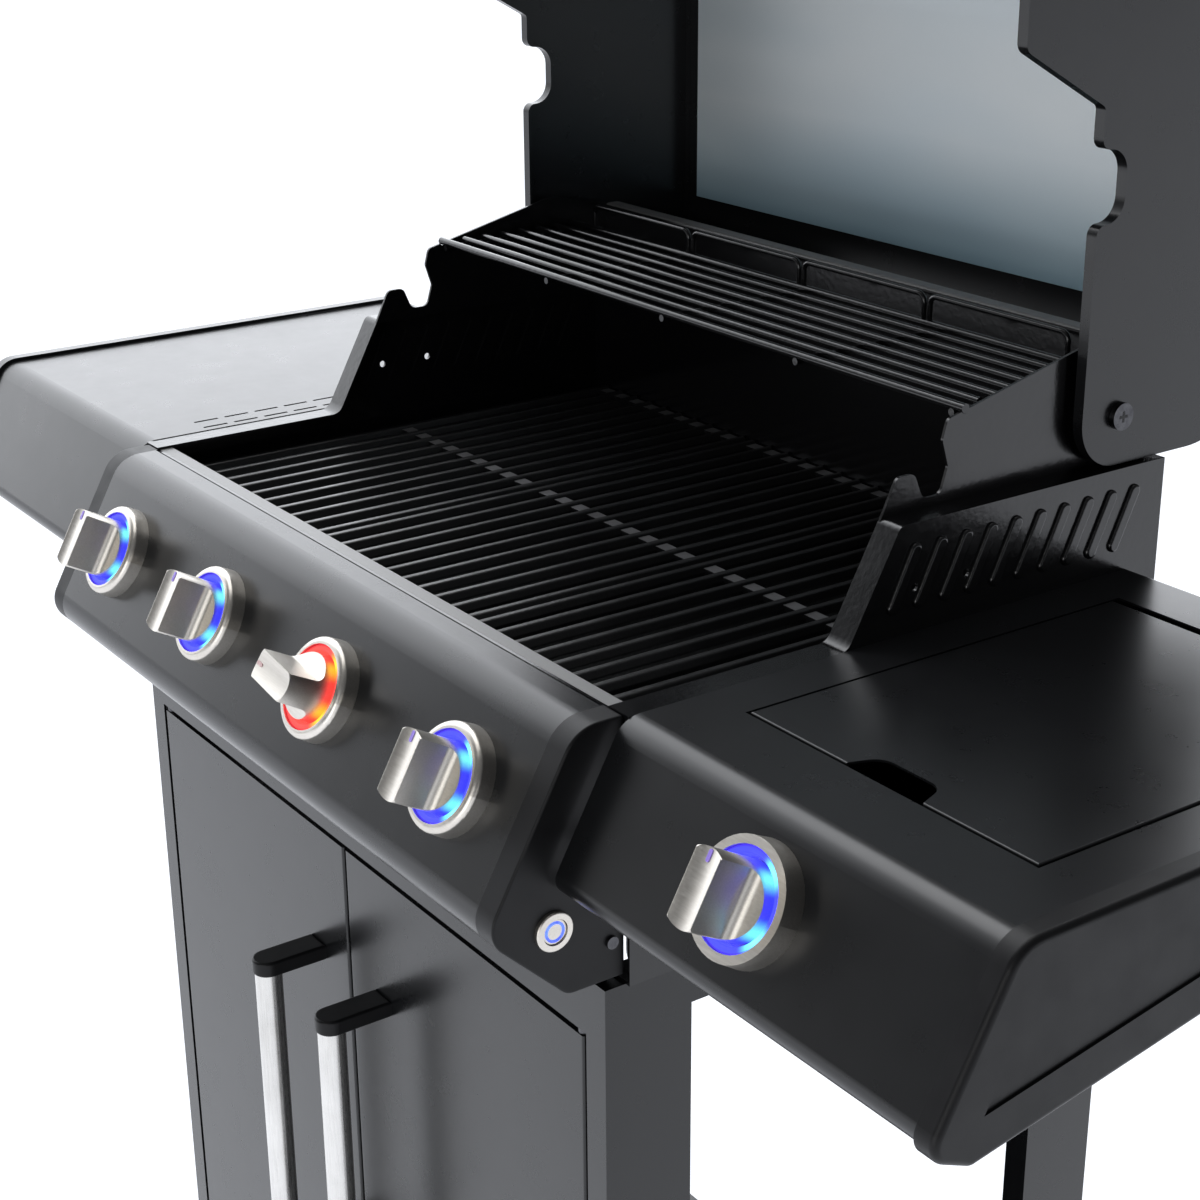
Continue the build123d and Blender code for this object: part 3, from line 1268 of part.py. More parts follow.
# Casters: a swivelling fork with its axle, and the wheel. The front forks carry a brake pedal.
for i, (x, y) in enumerate(CASTER_PLACES):
    wheel_y = y + CASTER_TRAIL
    axle_z = FLOOR + WHEEL_R
    cheek = HUB_WIDTH / 2 + FORK_GAP
    with BuildPart() as caster_fork:
        block(
            (x - cheek - FORK_WALL, y - FORK_HALF, FLOOR + FORK_TOP - FORK_WALL),
            (x + cheek + FORK_WALL, y + FORK_HALF + CASTER_TRAIL / 2, FLOOR + FORK_TOP),
        )
        for side in SIDES.values():
            extrude(
                outline(
                    side_plane(x + side * (cheek + FORK_WALL / 2) - FORK_WALL / 2),
                    [
                        (y - FORK_HALF, FLOOR + FORK_TOP),
                        (y + FORK_HALF + CASTER_TRAIL / 2, FLOOR + FORK_TOP),
                        (wheel_y + 3 * AXLE_R, axle_z - 2 * AXLE_R),
                        (wheel_y - 3 * AXLE_R, axle_z - 2 * AXLE_R),
                    ],
                    [0, 0, 6, 6],
                ),
                amount=FORK_WALL,
            )
        rod(side_plane(x - cheek - 2 * FORK_WALL), [(wheel_y, axle_z)], AXLE_R, 2 * (cheek + 2 * FORK_WALL))
        rod(level_plane(FLOOR + FORK_TOP), [(x, y)], STEM_R, STEM_LENGTH)
        if y < CASTER_Y[1]:
            pedal_y = y + FORK_HALF + CASTER_TRAIL / 2
            extrude(
                outline(
                    level_plane(FLOOR + FORK_TOP - FORK_WALL),
                    [
                        (x - BRAKE_HALF, pedal_y - FORK_WALL),
                        (x + BRAKE_HALF, pedal_y - FORK_WALL),
                        (x + BRAKE_HALF, pedal_y + BRAKE_LENGTH),
                        (x - BRAKE_HALF, pedal_y + BRAKE_LENGTH),
                    ],
                    [0, 0, BRAKE_HALF / 2, BRAKE_HALF / 2],
                ),
                amount=FORK_WALL,
            )
    save(caster_fork, f"caster_fork_{i + 1}")

    with BuildPart() as caster_wheel:
        rod(side_plane(x - WHEEL_WIDTH / 2), [(wheel_y, axle_z)], WHEEL_R, WHEEL_WIDTH)
        fillet(caster_wheel.edges(), WHEEL_CROWN)
        rod(side_plane(x - HUB_WIDTH / 2), [(wheel_y, axle_z)], HUB_R, HUB_WIDTH)
        rod(
            side_plane(x - HUB_WIDTH / 2),
            [(wheel_y, axle_z)],
            AXLE_R + RUN,
            HUB_WIDTH,
            Mode.SUBTRACT,
        )
    save(caster_wheel, f"caster_wheel_{i + 1}")

# Doors: folded pans that turn on pins in the front rail and the bottom shelf
DOOR_OUT = CART_HALF - LEG_WIDTH - DOOR_GAP
DOOR_LOW = BASE_TOP + DOOR_LIFT
PIN_X = DOOR_OUT - DOOR_PIN_IN
PIN_Y = CART_FRONT + DOOR_PIN_IN
with BuildPart() as door_hinge_pins:
    places = [(-PIN_X, PIN_Y), (PIN_X, PIN_Y)]
    rod(level_plane(DOOR_TOP + LOOSE), places, DOOR_COLLAR_R, FRONT_RAIL_BOTTOM - DOOR_TOP - LOOSE)
    rod(level_plane(DOOR_TOP - DOOR_PIN), places, DOOR_PIN_R, DOOR_PIN + 2 * LOOSE)
    rod(level_plane(BASE_TOP), places, DOOR_COLLAR_R, DOOR_LIFT - LOOSE)
    rod(level_plane(DOOR_LOW - 2 * LOOSE), places, DOOR_PIN_R, DOOR_PIN)
save(door_hinge_pins, "door_hinge_pins")

GRIP_LOW = GRIP_TOP - GRIP_LENGTH
GRIP_Y = CART_FRONT - GRIP_STANDOFF
for name, side in SIDES.items():
    inner = side * DOOR_MEET / 2
    outer = side * DOOR_OUT
    with BuildPart() as door:
        block((inner, CART_FRONT, DOOR_LOW), (outer, CART_FRONT + DOOR_DEPTH, DOOR_TOP))
        upright = door.edges().filter_by(Axis.Z).group_by(Axis.Y)[0]
        fillet(upright, DOOR_EDGE)
        block(
            (inner + side * SHEET, CART_FRONT + SHEET, DOOR_LOW + SHEET),
            (outer - side * SHEET, CART_FRONT + DOOR_DEPTH, DOOR_TOP - SHEET),
            Mode.SUBTRACT,
        )
        for z in (DOOR_LOW, DOOR_TOP - SHEET):
            rod(level_plane(z), [(side * PIN_X, PIN_Y)], DOOR_PIN_R + RUN, SHEET, Mode.SUBTRACT)
    save(door, f"door_{name}")

    with BuildPart() as handle_caps:
        for z in (GRIP_LOW, GRIP_TOP - GRIP_CAP):
            with BuildSketch(level_plane(z)):
                with Locations((side * GRIP_X, (CART_FRONT + GRIP_Y) / 2)):
                    Rectangle(2 * GRIP_CAP_HALF, GRIP_STANDOFF)
                with Locations((side * GRIP_X, GRIP_Y)):
                    Circle(GRIP_CAP_HALF)
            extrude(amount=GRIP_CAP)
        rims = handle_caps.faces().filter_by(Axis.Z).edges()
        fillet(rims, 2)
    save(handle_caps, f"handle_caps_{name}")

    with BuildPart() as handle_tube:
        with BuildSketch(level_plane(GRIP_LOW + GRIP_CAP)):
            with Locations((side * GRIP_X, GRIP_Y)):
                Circle(GRIP_R)
                Circle(GRIP_R - SHEET, mode=Mode.SUBTRACT)
        extrude(amount=GRIP_LENGTH - 2 * GRIP_CAP)
    save(handle_tube, f"handle_tube_{name}")

# Grease tray: a shallow pan whose lips run on the tub's runners
with BuildPart() as grease_tray:
    block(
        (-TRAY_HALF, TRAY_FRONT, TRAY_TOP - TRAY_DEPTH),
        (TRAY_HALF, TRAY_BACK, TRAY_TOP),
    )
    block(
        (-TRAY_HALF - TRAY_LIP + SHEET, TRAY_FRONT, TRAY_TOP - SHEET),
        (TRAY_HALF + TRAY_LIP - SHEET, TRAY_BACK, TRAY_TOP),
    )
    block(
        (-TRAY_HALF + SHEET, TRAY_FRONT + SHEET, TRAY_TOP - TRAY_DEPTH + SHEET),
        (TRAY_HALF - SHEET, TRAY_BACK - SHEET, TRAY_TOP),
        Mode.SUBTRACT,
    )
save(grease_tray, "grease_tray")
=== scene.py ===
import math

import bmesh
import bpy
from mathutils import Matrix, Vector


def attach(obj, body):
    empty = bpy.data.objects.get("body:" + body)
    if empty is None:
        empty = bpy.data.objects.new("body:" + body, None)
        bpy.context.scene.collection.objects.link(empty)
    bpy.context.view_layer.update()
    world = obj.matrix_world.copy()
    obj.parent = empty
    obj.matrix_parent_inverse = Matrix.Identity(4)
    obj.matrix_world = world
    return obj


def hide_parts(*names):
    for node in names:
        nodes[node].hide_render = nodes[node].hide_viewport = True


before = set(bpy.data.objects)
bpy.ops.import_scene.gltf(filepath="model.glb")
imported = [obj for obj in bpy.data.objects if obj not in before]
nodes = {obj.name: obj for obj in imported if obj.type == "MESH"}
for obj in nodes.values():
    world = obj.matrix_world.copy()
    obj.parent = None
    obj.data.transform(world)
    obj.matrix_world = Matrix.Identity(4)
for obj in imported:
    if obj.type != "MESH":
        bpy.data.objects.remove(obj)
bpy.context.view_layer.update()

# The firebox rim's place in the part frame, in millimetres
RIM_Y = -206.590111
RIM_HEIGHT = 905.0

# Places measured from the rim, in millimetres
FLANGE_GROOVE, FLANGE_FRONT = 1.0, 12.0
FLANGE_BACK_Z = 145.0
LINER_LOW, LINER_SHADE = 141.0, 90.0
RIB_TOP = -18.5
PANEL_BROW, PANEL_TOP, KNOB_HEIGHT = -33.0, 3.0, -51.5
TABLE_BROW, TABLE_TOP, SIDE_KNOB_HEIGHT = -5.0, 4.0, -39.0
FACE_TILT = math.radians(29.0)
KNOB_X = (-240.0, -80.0, 80.0, 240.0, 472.0)
SIDE_KNOB = 4
KNOB_ON, KNOB_ON_ANGLE = 2, math.radians(84.0)
BUTTON_FACE = (321.95, -51.0, -118.0)
PIVOT = (387.5, 109.5)
PIVOT_FACE = 324.3
DIAL_CENTRE = (0.0, 413.0, 469.1)

# Directions on the panel face and on the open hood's thermometer
FACE_NORMAL = Vector((0, -math.cos(FACE_TILT), math.sin(FACE_TILT)))
FACE_UP = Vector((0, math.sin(FACE_TILT), math.cos(FACE_TILT)))
DIAL_NORMAL = Vector((0, 0.198, 0.980)).normalized()
DIAL_UP = Vector((0, 0.980, -0.198)).normalized()


def rim(x, y, z):
    """Rim millimetres to part metres."""
    return Vector((x, RIM_Y + y, RIM_HEIGHT + z)) / 1000


def knob_centre(i):
    """Where a knob's axis meets its panel face."""
    brow, top, height = PANEL_BROW, PANEL_TOP, KNOB_HEIGHT
    if i == SIDE_KNOB:
        brow, top, height = TABLE_BROW, TABLE_TOP, SIDE_KNOB_HEIGHT
    return rim(KNOB_X[i], brow - (top - height) * math.tan(FACE_TILT), height)


def axes(normal, up):
    """Matrix whose columns are right, up and normal."""
    right = up.cross(normal).normalized()
    return Matrix((right, normal.cross(right).normalized(), normal)).transposed()


# Materials


class Nodes:
    """A short way to write a node material."""

    def __init__(self, name):
        self.material = bpy.data.materials.new(name)
        self.material.use_nodes = True
        self.tree = self.material.node_tree
        self.shader = self.tree.nodes["Principled BSDF"]
        self.coords = self.add("ShaderNodeTexCoord").outputs["Object"]

    def add(self, kind, **settings):
        node = self.tree.nodes.new(kind)
        for key, value in settings.items():
            setattr(node, key, value)
        return node

    def link(self, source, target):
        self.tree.links.new(source, target)

    def put(self, **values):
        for key, value in values.items():
            self.shader.inputs[key.replace("_", " ")].default_value = value

    def scaled(self, scale, turn=(0, 0, 0)):
        mapping = self.add("ShaderNodeMapping")
        mapping.inputs["Scale"].default_value = scale
        mapping.inputs["Rotation"].default_value = turn
        self.link(self.coords, mapping.inputs["Vector"])
        return mapping.outputs["Vector"]

    def noise(self, scale, detail=3.0, rough=0.55, vector=None):
        node = self.add("ShaderNodeTexNoise")
        node.inputs["Scale"].default_value = scale
        node.inputs["Detail"].default_value = detail
        node.inputs["Roughness"].default_value = rough
        self.link(vector or self.coords, node.inputs["Vector"])
        return node.outputs["Fac"]

    def ramp(self, value, low, high, start=0.3, end=0.7):
        node = self.add("ShaderNodeMapRange")
        node.inputs["From Min"].default_value = start
        node.inputs["From Max"].default_value = end
        node.inputs["To Min"].default_value = low
        node.inputs["To Max"].default_value = high
        self.link(value, node.inputs["Value"])
        return node.outputs["Result"]

    def mix(self, value, first, second, start=0.3, end=0.7):
        node = self.add("ShaderNodeValToRGB")
        node.color_ramp.elements[0].position = start
        node.color_ramp.elements[0].color = (*first, 1)
        node.color_ramp.elements[1].position = end
        node.color_ramp.elements[1].color = (*second, 1)
        self.link(value, node.inputs["Fac"])
        return node.outputs["Color"]

    def rise(self, value, start, end):
        """0 before start and 1 after end, both in millimetres."""
        return self.ramp(value, 0.0, 1.0, start / 1000, end / 1000)

    def fall(self, value, start, end):
        """1 before start and 0 after end, both in millimetres."""
        return self.ramp(value, 1.0, 0.0, start / 1000, end / 1000)

    def bump(self, value, strength, distance):
        node = self.add("ShaderNodeBump")
        node.inputs["Strength"].default_value = strength
        node.inputs["Distance"].default_value = distance
        self.link(value, node.inputs["Height"])
        return node.outputs["Normal"]

    def split(self, vector):
        node = self.add("ShaderNodeSeparateXYZ")
        self.link(vector, node.inputs["Vector"])
        return node.outputs

    def uv(self, name):
        return self.split(self.add("ShaderNodeUVMap", uv_map=name).outputs["UV"])

    def times(self, first, second):
        node = self.add("ShaderNodeMath", operation="MULTIPLY")
        self.link(first, node.inputs[0])
        self.link(second, node.inputs[1])
        return node.outputs[0]

    def to(self, **outputs):
        for key, value in outputs.items():
            self.link(value, self.shader.inputs[key.replace("_", " ")])


def coated(name, dark, light, rough, grain, ior=1.5):
    """Paint, enamel or moulding: cloudy colour, patchy gloss, and a grain of (scale, strength, depth)."""
    m = Nodes(name)
    cloud = m.noise(9.0, 5.0, 0.6)
    smear = m.noise(38.0, 4.0, 0.65)
    fine = m.noise(grain[0], 2.0, 0.5)
    m.to(
        Base_Color=m.mix(cloud, dark, light),
        Roughness=m.ramp(smear, rough[0], rough[1]),
        Normal=m.bump(fine, grain[1], grain[2]),
    )
    m.put(IOR=ior)
    return m.material


def brushed(name, dark, light, rough, streak, turn=(0, 0, 0)):
    """Brushed metal: streaks along one direction over a soft cloud, half of each in the colour."""
    m = Nodes(name)
    lines = m.noise(1.0, 6.0, 0.7, m.scaled(streak, turn))
    patch = m.noise(14.0, 4.0, 0.6)
    half = m.add("ShaderNodeMath", operation="MULTIPLY")
    m.link(lines, half.inputs[0])
    half.inputs[1].default_value = 0.5
    blend = m.add("ShaderNodeMath", operation="MULTIPLY_ADD")
    m.link(patch, blend.inputs[0])
    blend.inputs[1].default_value = 0.5
    m.link(half.outputs[0], blend.inputs[2])
    m.to(
        Base_Color=m.mix(blend.outputs[0], dark, light, 0.36, 0.64),
        Roughness=m.ramp(lines, rough[0], rough[1]),
        Normal=m.bump(lines, 0.06, 0.0003),
    )
    m.put(Metallic=1.0)
    return m.material


# Linear colours that several materials share
PAINT_DARK = (0.005, 0.0052, 0.006)
STEEL_DARK, STEEL_LIGHT = (0.52, 0.51, 0.49), (0.7, 0.69, 0.67)
STEEL_ROUGH = (0.22, 0.34)
PAINT_GRAIN = (400.0, 0.01, 0.0001)
PRINT_ROUGH, PRINT_GRAIN = (0.35, 0.45), (900.0, 0.05, 0.0002)

satin = coated("satin_black", PAINT_DARK, (0.008, 0.0085, 0.0095), (0.25, 0.28), PAINT_GRAIN, ior=1.45)
table_paint = coated("table_black", PAINT_DARK, (0.009, 0.0095, 0.0105), (0.27, 0.3), PAINT_GRAIN, ior=1.45)
enamel = coated(
    "black_enamel",
    (0.002, 0.002, 0.0025),
    (0.004, 0.004, 0.0045),
    rough=(0.16, 0.24),
    grain=(220.0, 0.14, 0.0008),
)
iron = coated(
    "enamelled_iron",
    (0.003, 0.003, 0.0035),
    (0.007, 0.007, 0.0075),
    rough=(0.3, 0.45),
    grain=(320.0, 0.5, 0.0006),
)
moulding = coated(
    "black_moulding",
    (0.005, 0.005, 0.0055),
    (0.009, 0.009, 0.01),
    rough=(0.36, 0.48),
    grain=(1300.0, 0.08, 0.0003),
    ior=1.3,
)
wheel = coated(
    "wheel_rubber",
    (0.012, 0.012, 0.012),
    (0.022, 0.022, 0.022),
    rough=(0.6, 0.75),
    grain=(900.0, 0.2, 0.0004),
)
ceramic = coated(
    "white_ceramic", (0.72, 0.7, 0.66), (0.8, 0.78, 0.75), rough=(0.3, 0.45), grain=(600.0, 0.1, 0.0003)
)
nickel = brushed(
    "brushed_nickel",
    (0.53, 0.5, 0.45),
    (0.69, 0.66, 0.61),
    rough=(0.3, 0.4),
    streak=(60.0, 900.0, 900.0),
    turn=(-FACE_TILT, 0, 0),
)
tube_steel = brushed("tube_steel", STEEL_DARK, STEEL_LIGHT, STEEL_ROUGH, streak=(900.0, 900.0, 40.0))
bar_steel = brushed("bar_steel", STEEL_DARK, STEEL_LIGHT, STEEL_ROUGH, streak=(40.0, 900.0, 900.0))


def grate_iron():
    """Rough black enamel, with a painted highlight on the level tops of the cross ribs."""
    m = Nodes("grate_iron")
    height = m.split(m.coords)["Z"]
    rib = RIM_HEIGHT + RIB_TOP
    at_rib = m.times(m.rise(height, rib - 0.4, rib - 0.2), m.fall(height, rib + 0.2, rib + 0.4))
    facing = m.split(m.add("ShaderNodeNewGeometry").outputs["Normal"])["Z"]
    # Painted highlight: the level tops of the cross ribs are made light grey and partly metallic
    rib_highlight = m.times(at_rib, m.ramp(facing, 0.0, 1.0, 0.9, 0.95))
    m.to(
        Base_Color=m.mix(rib_highlight, (0.004, 0.004, 0.0045), (0.2, 0.2, 0.205), 0.0, 1.0),
        Roughness=m.ramp(m.noise(38.0, 4.0, 0.65), 0.3, 0.42),
        Metallic=m.ramp(rib_highlight, 0.0, 0.7, 0.0, 1.0),
        Normal=m.bump(m.noise(320.0, 2.0, 0.5), 0.4, 0.0006),
    )
    return m.material


def tub_enamel():
    """Enamel that leaves the tub's folded front and back edges bright."""
    m = Nodes("tub_enamel")
    place = m.split(m.coords)
    top = m.rise(place["Z"], RIM_HEIGHT - 0.5, RIM_HEIGHT + 0.2)
    behind_groove = m.rise(place["Y"], RIM_Y + FLANGE_GROOVE, RIM_Y + FLANGE_GROOVE + 0.4)
    front = m.fall(place["Y"], RIM_Y + FLANGE_FRONT, RIM_Y + FLANGE_FRONT + 1)
    back = m.rise(place["Z"], RIM_HEIGHT + FLANGE_BACK_Z - 1.6, RIM_HEIGHT + FLANGE_BACK_Z - 1)
    edge = m.add("ShaderNodeMath", operation="MAXIMUM")
    m.link(m.times(top, m.times(behind_groove, front)), edge.inputs[0])
    m.link(back, edge.inputs[1])
    bare = edge.outputs[0]
    m.to(
        Base_Color=m.mix(bare, (0.003, 0.003, 0.0035), (0.2, 0.2, 0.198), 0.0, 1.0),
        Roughness=m.ramp(bare, 0.17, 0.5, 0.0, 1.0),
        Metallic=m.ramp(bare, 0.0, 0.6, 0.0, 1.0),
        Normal=m.bump(m.noise(220.0, 2.0, 0.5), 0.12, 0.0006),
    )
    return m.material


def liner_steel():
    """Bright hood liner: soft blue-grey clouds, with painted shade darkening it towards its lower edge, over
    faint brushing.
    """
    m = Nodes("liner_steel")
    cloud = m.noise(5.0, 2.0, 0.45, m.scaled((0.6, 1.0, 1.6)))
    lines = m.noise(1.0, 5.0, 0.6, m.scaled((25.0, 500.0, 500.0)))
    low = RIM_HEIGHT + LINER_LOW
    # Painted shade: the colour is multiplied darker and bluer over LINER_SHADE above the liner's lower edge
    height = m.rise(m.split(m.coords)["Z"], low, low + LINER_SHADE)
    shade = m.add("ShaderNodeMix", data_type="RGBA", blend_type="MULTIPLY")
    shade.inputs["Factor"].default_value = 1.0
    m.link(m.mix(cloud, (0.68, 0.77, 0.82), (0.88, 0.93, 0.95), 0.35, 0.65), shade.inputs["A"])
    m.link(m.mix(height, (0.42, 0.58, 0.66), (1.0, 1.0, 1.0), 0.0, 1.0), shade.inputs["B"])
    m.to(
        Base_Color=shade.outputs["Result"],
        Roughness=m.ramp(cloud, 0.42, 0.55),
        Normal=m.bump(lines, 0.02, 0.0003),
    )
    m.put(Metallic=0.3)
    return m.material


tub_look = tub_enamel()
iron_with_rib_highlight = grate_iron()
liner = liner_steel()
dark_zinc = brushed(
    "dark_zinc", (0.05, 0.05, 0.055), (0.12, 0.12, 0.125), rough=(0.25, 0.4), streak=(300.0, 300.0, 300.0)
)
sheet_steel = brushed(
    "sheet_steel", (0.55, 0.57, 0.58), (0.72, 0.74, 0.75), rough=(0.25, 0.4), streak=(60.0, 60.0, 500.0)
)
brass = brushed(
    "plain_brass", (0.55, 0.4, 0.16), (0.72, 0.55, 0.25), rough=(0.25, 0.4), streak=(300.0, 300.0, 60.0)
)

LOOKS = {
    satin: "control_panel lid_shell lid_end_left lid_end_right cart_legs cart_rails bottom_shelf "
    "door_left door_right",
    table_paint: "left_shelf left_shelf_end right_table side_burner_flap",
    tub_look: "firebox_tub",
    enamel: "firebox_end_left firebox_end_right warming_rack side_burner_bowl",
    iron_with_rib_highlight: "cooking_grates",
    iron: "side_burner",
    moulding: "panel_end_left panel_end_right right_table_end handle_caps_left handle_caps_right",
    nickel: "knob_1 knob_2 knob_3 knob_4 knob_5 knob_bezels button_ring power_button",
    tube_steel: "handle_tube_left handle_tube_right",
    dark_zinc: "screws door_hinge_pins",
    bar_steel: "lid_handle thermometer",
    liner: "lid_liner",
    sheet_steel: "grease_tray flame_tamers burner_tubes gas_pipes "
    "caster_fork_1 caster_fork_2 caster_fork_3 caster_fork_4",
    brass: "valves valve_plunger_1 valve_plunger_2 valve_plunger_3 valve_plunger_4 valve_plunger_5",
    ceramic: "igniters light_rings",
    wheel: "caster_wheel_1 caster_wheel_2 caster_wheel_3 caster_wheel_4",
}
for material, names in LOOKS.items():
    for name in names.split():
        slots = nodes[name].data.materials
        if not slots:
            slots.append(material)
        for k in range(len(slots)):
            slots[k] = material


# Pieces, in metres
RING_STEPS = 96


def piece(name, verts, faces, material, body, smooth=True):
    """A mesh piece that rides on a body."""
    mesh = bpy.data.meshes.new(name)
    mesh.from_pydata([tuple(v) for v in verts], [], faces)
    mesh.materials.append(material)
    obj = bpy.data.objects.new(name, mesh)
    bpy.context.scene.collection.objects.link(obj)
    work = bmesh.new()
    work.from_mesh(mesh)
    bmesh.ops.recalc_face_normals(work, faces=work.faces)
    work.to_mesh(mesh)
    work.free()
    for face in mesh.polygons:
        face.use_smooth = smooth
    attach(obj, body)
    return obj


def lathe(profile, centre, basis, count=RING_STEPS):
    """Closed ring of (radius, height) points turned about a basis's normal."""
    verts, faces = [], []
    for k in range(count):
        a = math.tau * k / count
        for r, h in profile:
            verts.append(centre + basis @ Vector((r * math.sin(a), r * math.cos(a), h)))
    size = len(profile)
    for k in range(count):
        n = (k + 1) % count
        for j in range(size):
            i = (j + 1) % size
            faces.append((k * size + j, k * size + i, n * size + i, n * size + j))
    return verts, faces


def slab(outline, low, high, centre, basis):
    """A flat plate with an outline, between two heights along a basis's normal."""
    verts = [centre + basis @ Vector((x, y, h)) for h in (low, high) for x, y in outline]
    count = len(outline)
    faces = [tuple(range(count)), tuple(range(count, 2 * count))]
    faces += [(k, (k + 1) % count, count + (k + 1) % count, count + k) for k in range(count)]
    return verts, faces


def joined(parts):
    """Several meshes as one."""
    verts, faces = [], []
    for part_verts, part_faces in parts:
        faces += [tuple(v + len(verts) for v in face) for face in part_faces]
        verts += part_verts
    return verts, faces


def glow(name, edge, stops, strength):
    """Lit diffuser whose colour runs round the ring, with a plain colour along its outer edge."""
    m = Nodes(name)
    place = m.uv("turn")
    colours = m.add("ShaderNodeValToRGB")
    ramp = colours.color_ramp
    ramp.interpolation = "EASE"
    while len(ramp.elements) < len(stops):
        ramp.elements.new(0.5)
    for element, (at, colour) in zip(ramp.elements, stops):
        element.position = at
        element.color = (*colour, 1)
    m.link(place["X"], colours.inputs["Fac"])
    lit = m.add("ShaderNodeMix", data_type="RGBA")
    m.link(place["Y"], lit.inputs["Factor"])
    lit.inputs["A"].default_value = (*edge, 1)
    m.link(colours.outputs["Color"], lit.inputs["B"])
    m.to(Emission_Color=lit.outputs["Result"], Roughness=m.ramp(m.noise(200.0), 0.35, 0.5))
    m.put(Emission_Strength=strength, Base_Color=(0.02, 0.02, 0.03, 1), Specular_IOR_Level=0.1)
    return m.material


VIOLET = (0.035, 0.02, 0.5)
CRIMSON = (0.55, 0.02, 0.03)
BLUE = (0.035, 0.04, 1.0)
CYAN = (0.16, 0.85, 1.0)
RED = (1.0, 0.05, 0.04)
AMBER = (1.0, 0.5, 0.03)

# Where the two lamps behind a ring start, peak and end, as shares of a turn from the top
LAMPS = ((0.03, 0.1, 0.18), (0.26, 0.34, 0.42))


def lamps(plain, bright):
    """Colour stops round a ring: plain, with a bright spot at each lamp."""
    stops = [(0.0, plain)]
    for start, peak, end in LAMPS:
        stops += [(start, plain), (peak, bright), (end, plain)]
    return stops


blue_glow = glow("blue_glow", VIOLET, lamps(BLUE, CYAN), 2.4)
red_glow = glow("red_glow", CRIMSON, lamps(RED, AMBER), 2.0)

# Ring lights: one mesh of five domed rings, whose points are (radius, height, how fully lit)
RING_POINTS = [
    (0.0240, 0.0020, 1.0),
    (0.0282, 0.0020, 0.0),
    (0.0282, 0.0106, 0.0),
    (0.0277, 0.0112, 0.2),
    (0.0269, 0.0115, 1.0),
    (0.0253, 0.0115, 1.0),
    (0.0245, 0.0112, 1.0),
    (0.0240, 0.0106, 1.0),
]
ring_profile = [(r, h) for r, h, lit in RING_POINTS]
face_basis = axes(FACE_NORMAL, FACE_UP)
verts, faces = joined(lathe(ring_profile, knob_centre(i), face_basis) for i in range(len(KNOB_X)))
rings = piece("ring_lights", verts, faces, blue_glow, "cart", False)
rings.data.materials.append(red_glow)
turn_map = rings.data.uv_layers.new(name="turn")
per_ring = len(rings.data.polygons) // len(KNOB_X)
for face in rings.data.polygons:
    ring, step = divmod(face.index, per_ring)
    face.material_index = 1 if ring == KNOB_ON else 0
    last_step = step // len(ring_profile) == RING_STEPS - 1
    for loop in face.loop_indices:
        vertex = rings.data.loops[loop].vertex_index
        point = rings.data.vertices[vertex].co - knob_centre(ring)
        turn = math.atan2(point.dot(face_basis.col[0]), point.dot(FACE_UP)) % math.tau / math.tau
        if last_step and turn < 0.25:
            turn = 1.0
        turn_map.data[loop].uv = (turn, RING_POINTS[vertex % len(RING_POINTS)][2])
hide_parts("light_rings")

# Indicator marks at the top end of each knob's front face, with round ends; the lit knob's mark is painted
# pink for the red glow on it
MARK_R, MARK_INNER, MARK_OUTER = 0.0013, 0.0155, 0.0200
MARK_BASE, MARK_THICK = 0.0424, 0.0005
MARK_END_STEPS = 8
mark_violet = coated("mark_violet", (0.34, 0.22, 0.9), (0.42, 0.3, 0.98), PRINT_ROUGH, PRINT_GRAIN)
# Painted glow: the lit knob's mark is coloured pink for the red light that shows on it
mark_painted_red_glow = coated("mark_painted_red_glow", (0.78, 0.52, 0.52), (0.85, 0.6, 0.6), PRINT_ROUGH, PRINT_GRAIN)
mark_outline = []
for middle, start in ((MARK_OUTER, 0), (MARK_INNER, math.pi)):
    for step in range(MARK_END_STEPS + 1):
        a = start + math.pi * step / MARK_END_STEPS
        mark_outline.append((MARK_R * math.cos(a), middle + MARK_R * math.sin(a)))
for i in range(len(KNOB_X)):
    up, mark_paint = FACE_UP, mark_violet
    if i == KNOB_ON:
        up = Matrix.Rotation(KNOB_ON_ANGLE, 3, FACE_NORMAL) @ FACE_UP
        mark_paint = mark_painted_red_glow
    centre = knob_centre(i) + FACE_NORMAL * MARK_BASE
    verts, faces = slab(mark_outline, 0, MARK_THICK, centre, axes(FACE_NORMAL, up))
    piece(f"knob_mark_{i + 1}", verts, faces, mark_paint, f"knob_{i + 1}", False)

# Lit ring on the power button
BUTTON_RING_INNER, BUTTON_RING_OUTER, BUTTON_RING_THICK = 0.0050, 0.0066, 0.0003
BUTTON_DARK, BUTTON_LIGHT = (0.05, 0.08, 0.9), (0.1, 0.2, 1.0)
button_glow = Nodes("button_glow")
button_colour = button_glow.mix(button_glow.noise(300.0), BUTTON_DARK, BUTTON_LIGHT)
button_glow.put(Emission_Strength=1.6, Roughness=0.3)
button_glow.to(Emission_Color=button_colour, Base_Color=button_colour)
button_profile = [
    (BUTTON_RING_INNER, 0.0),
    (BUTTON_RING_OUTER, 0.0),
    (BUTTON_RING_OUTER, BUTTON_RING_THICK),
    (BUTTON_RING_INNER, BUTTON_RING_THICK),
]
button_basis = axes(Vector((1, 0, 0)), Vector((0, 0, 1)))
verts, faces = lathe(button_profile, rim(*BUTTON_FACE), button_basis, 64)
piece("button_light", verts, faces, button_glow.material, "button")
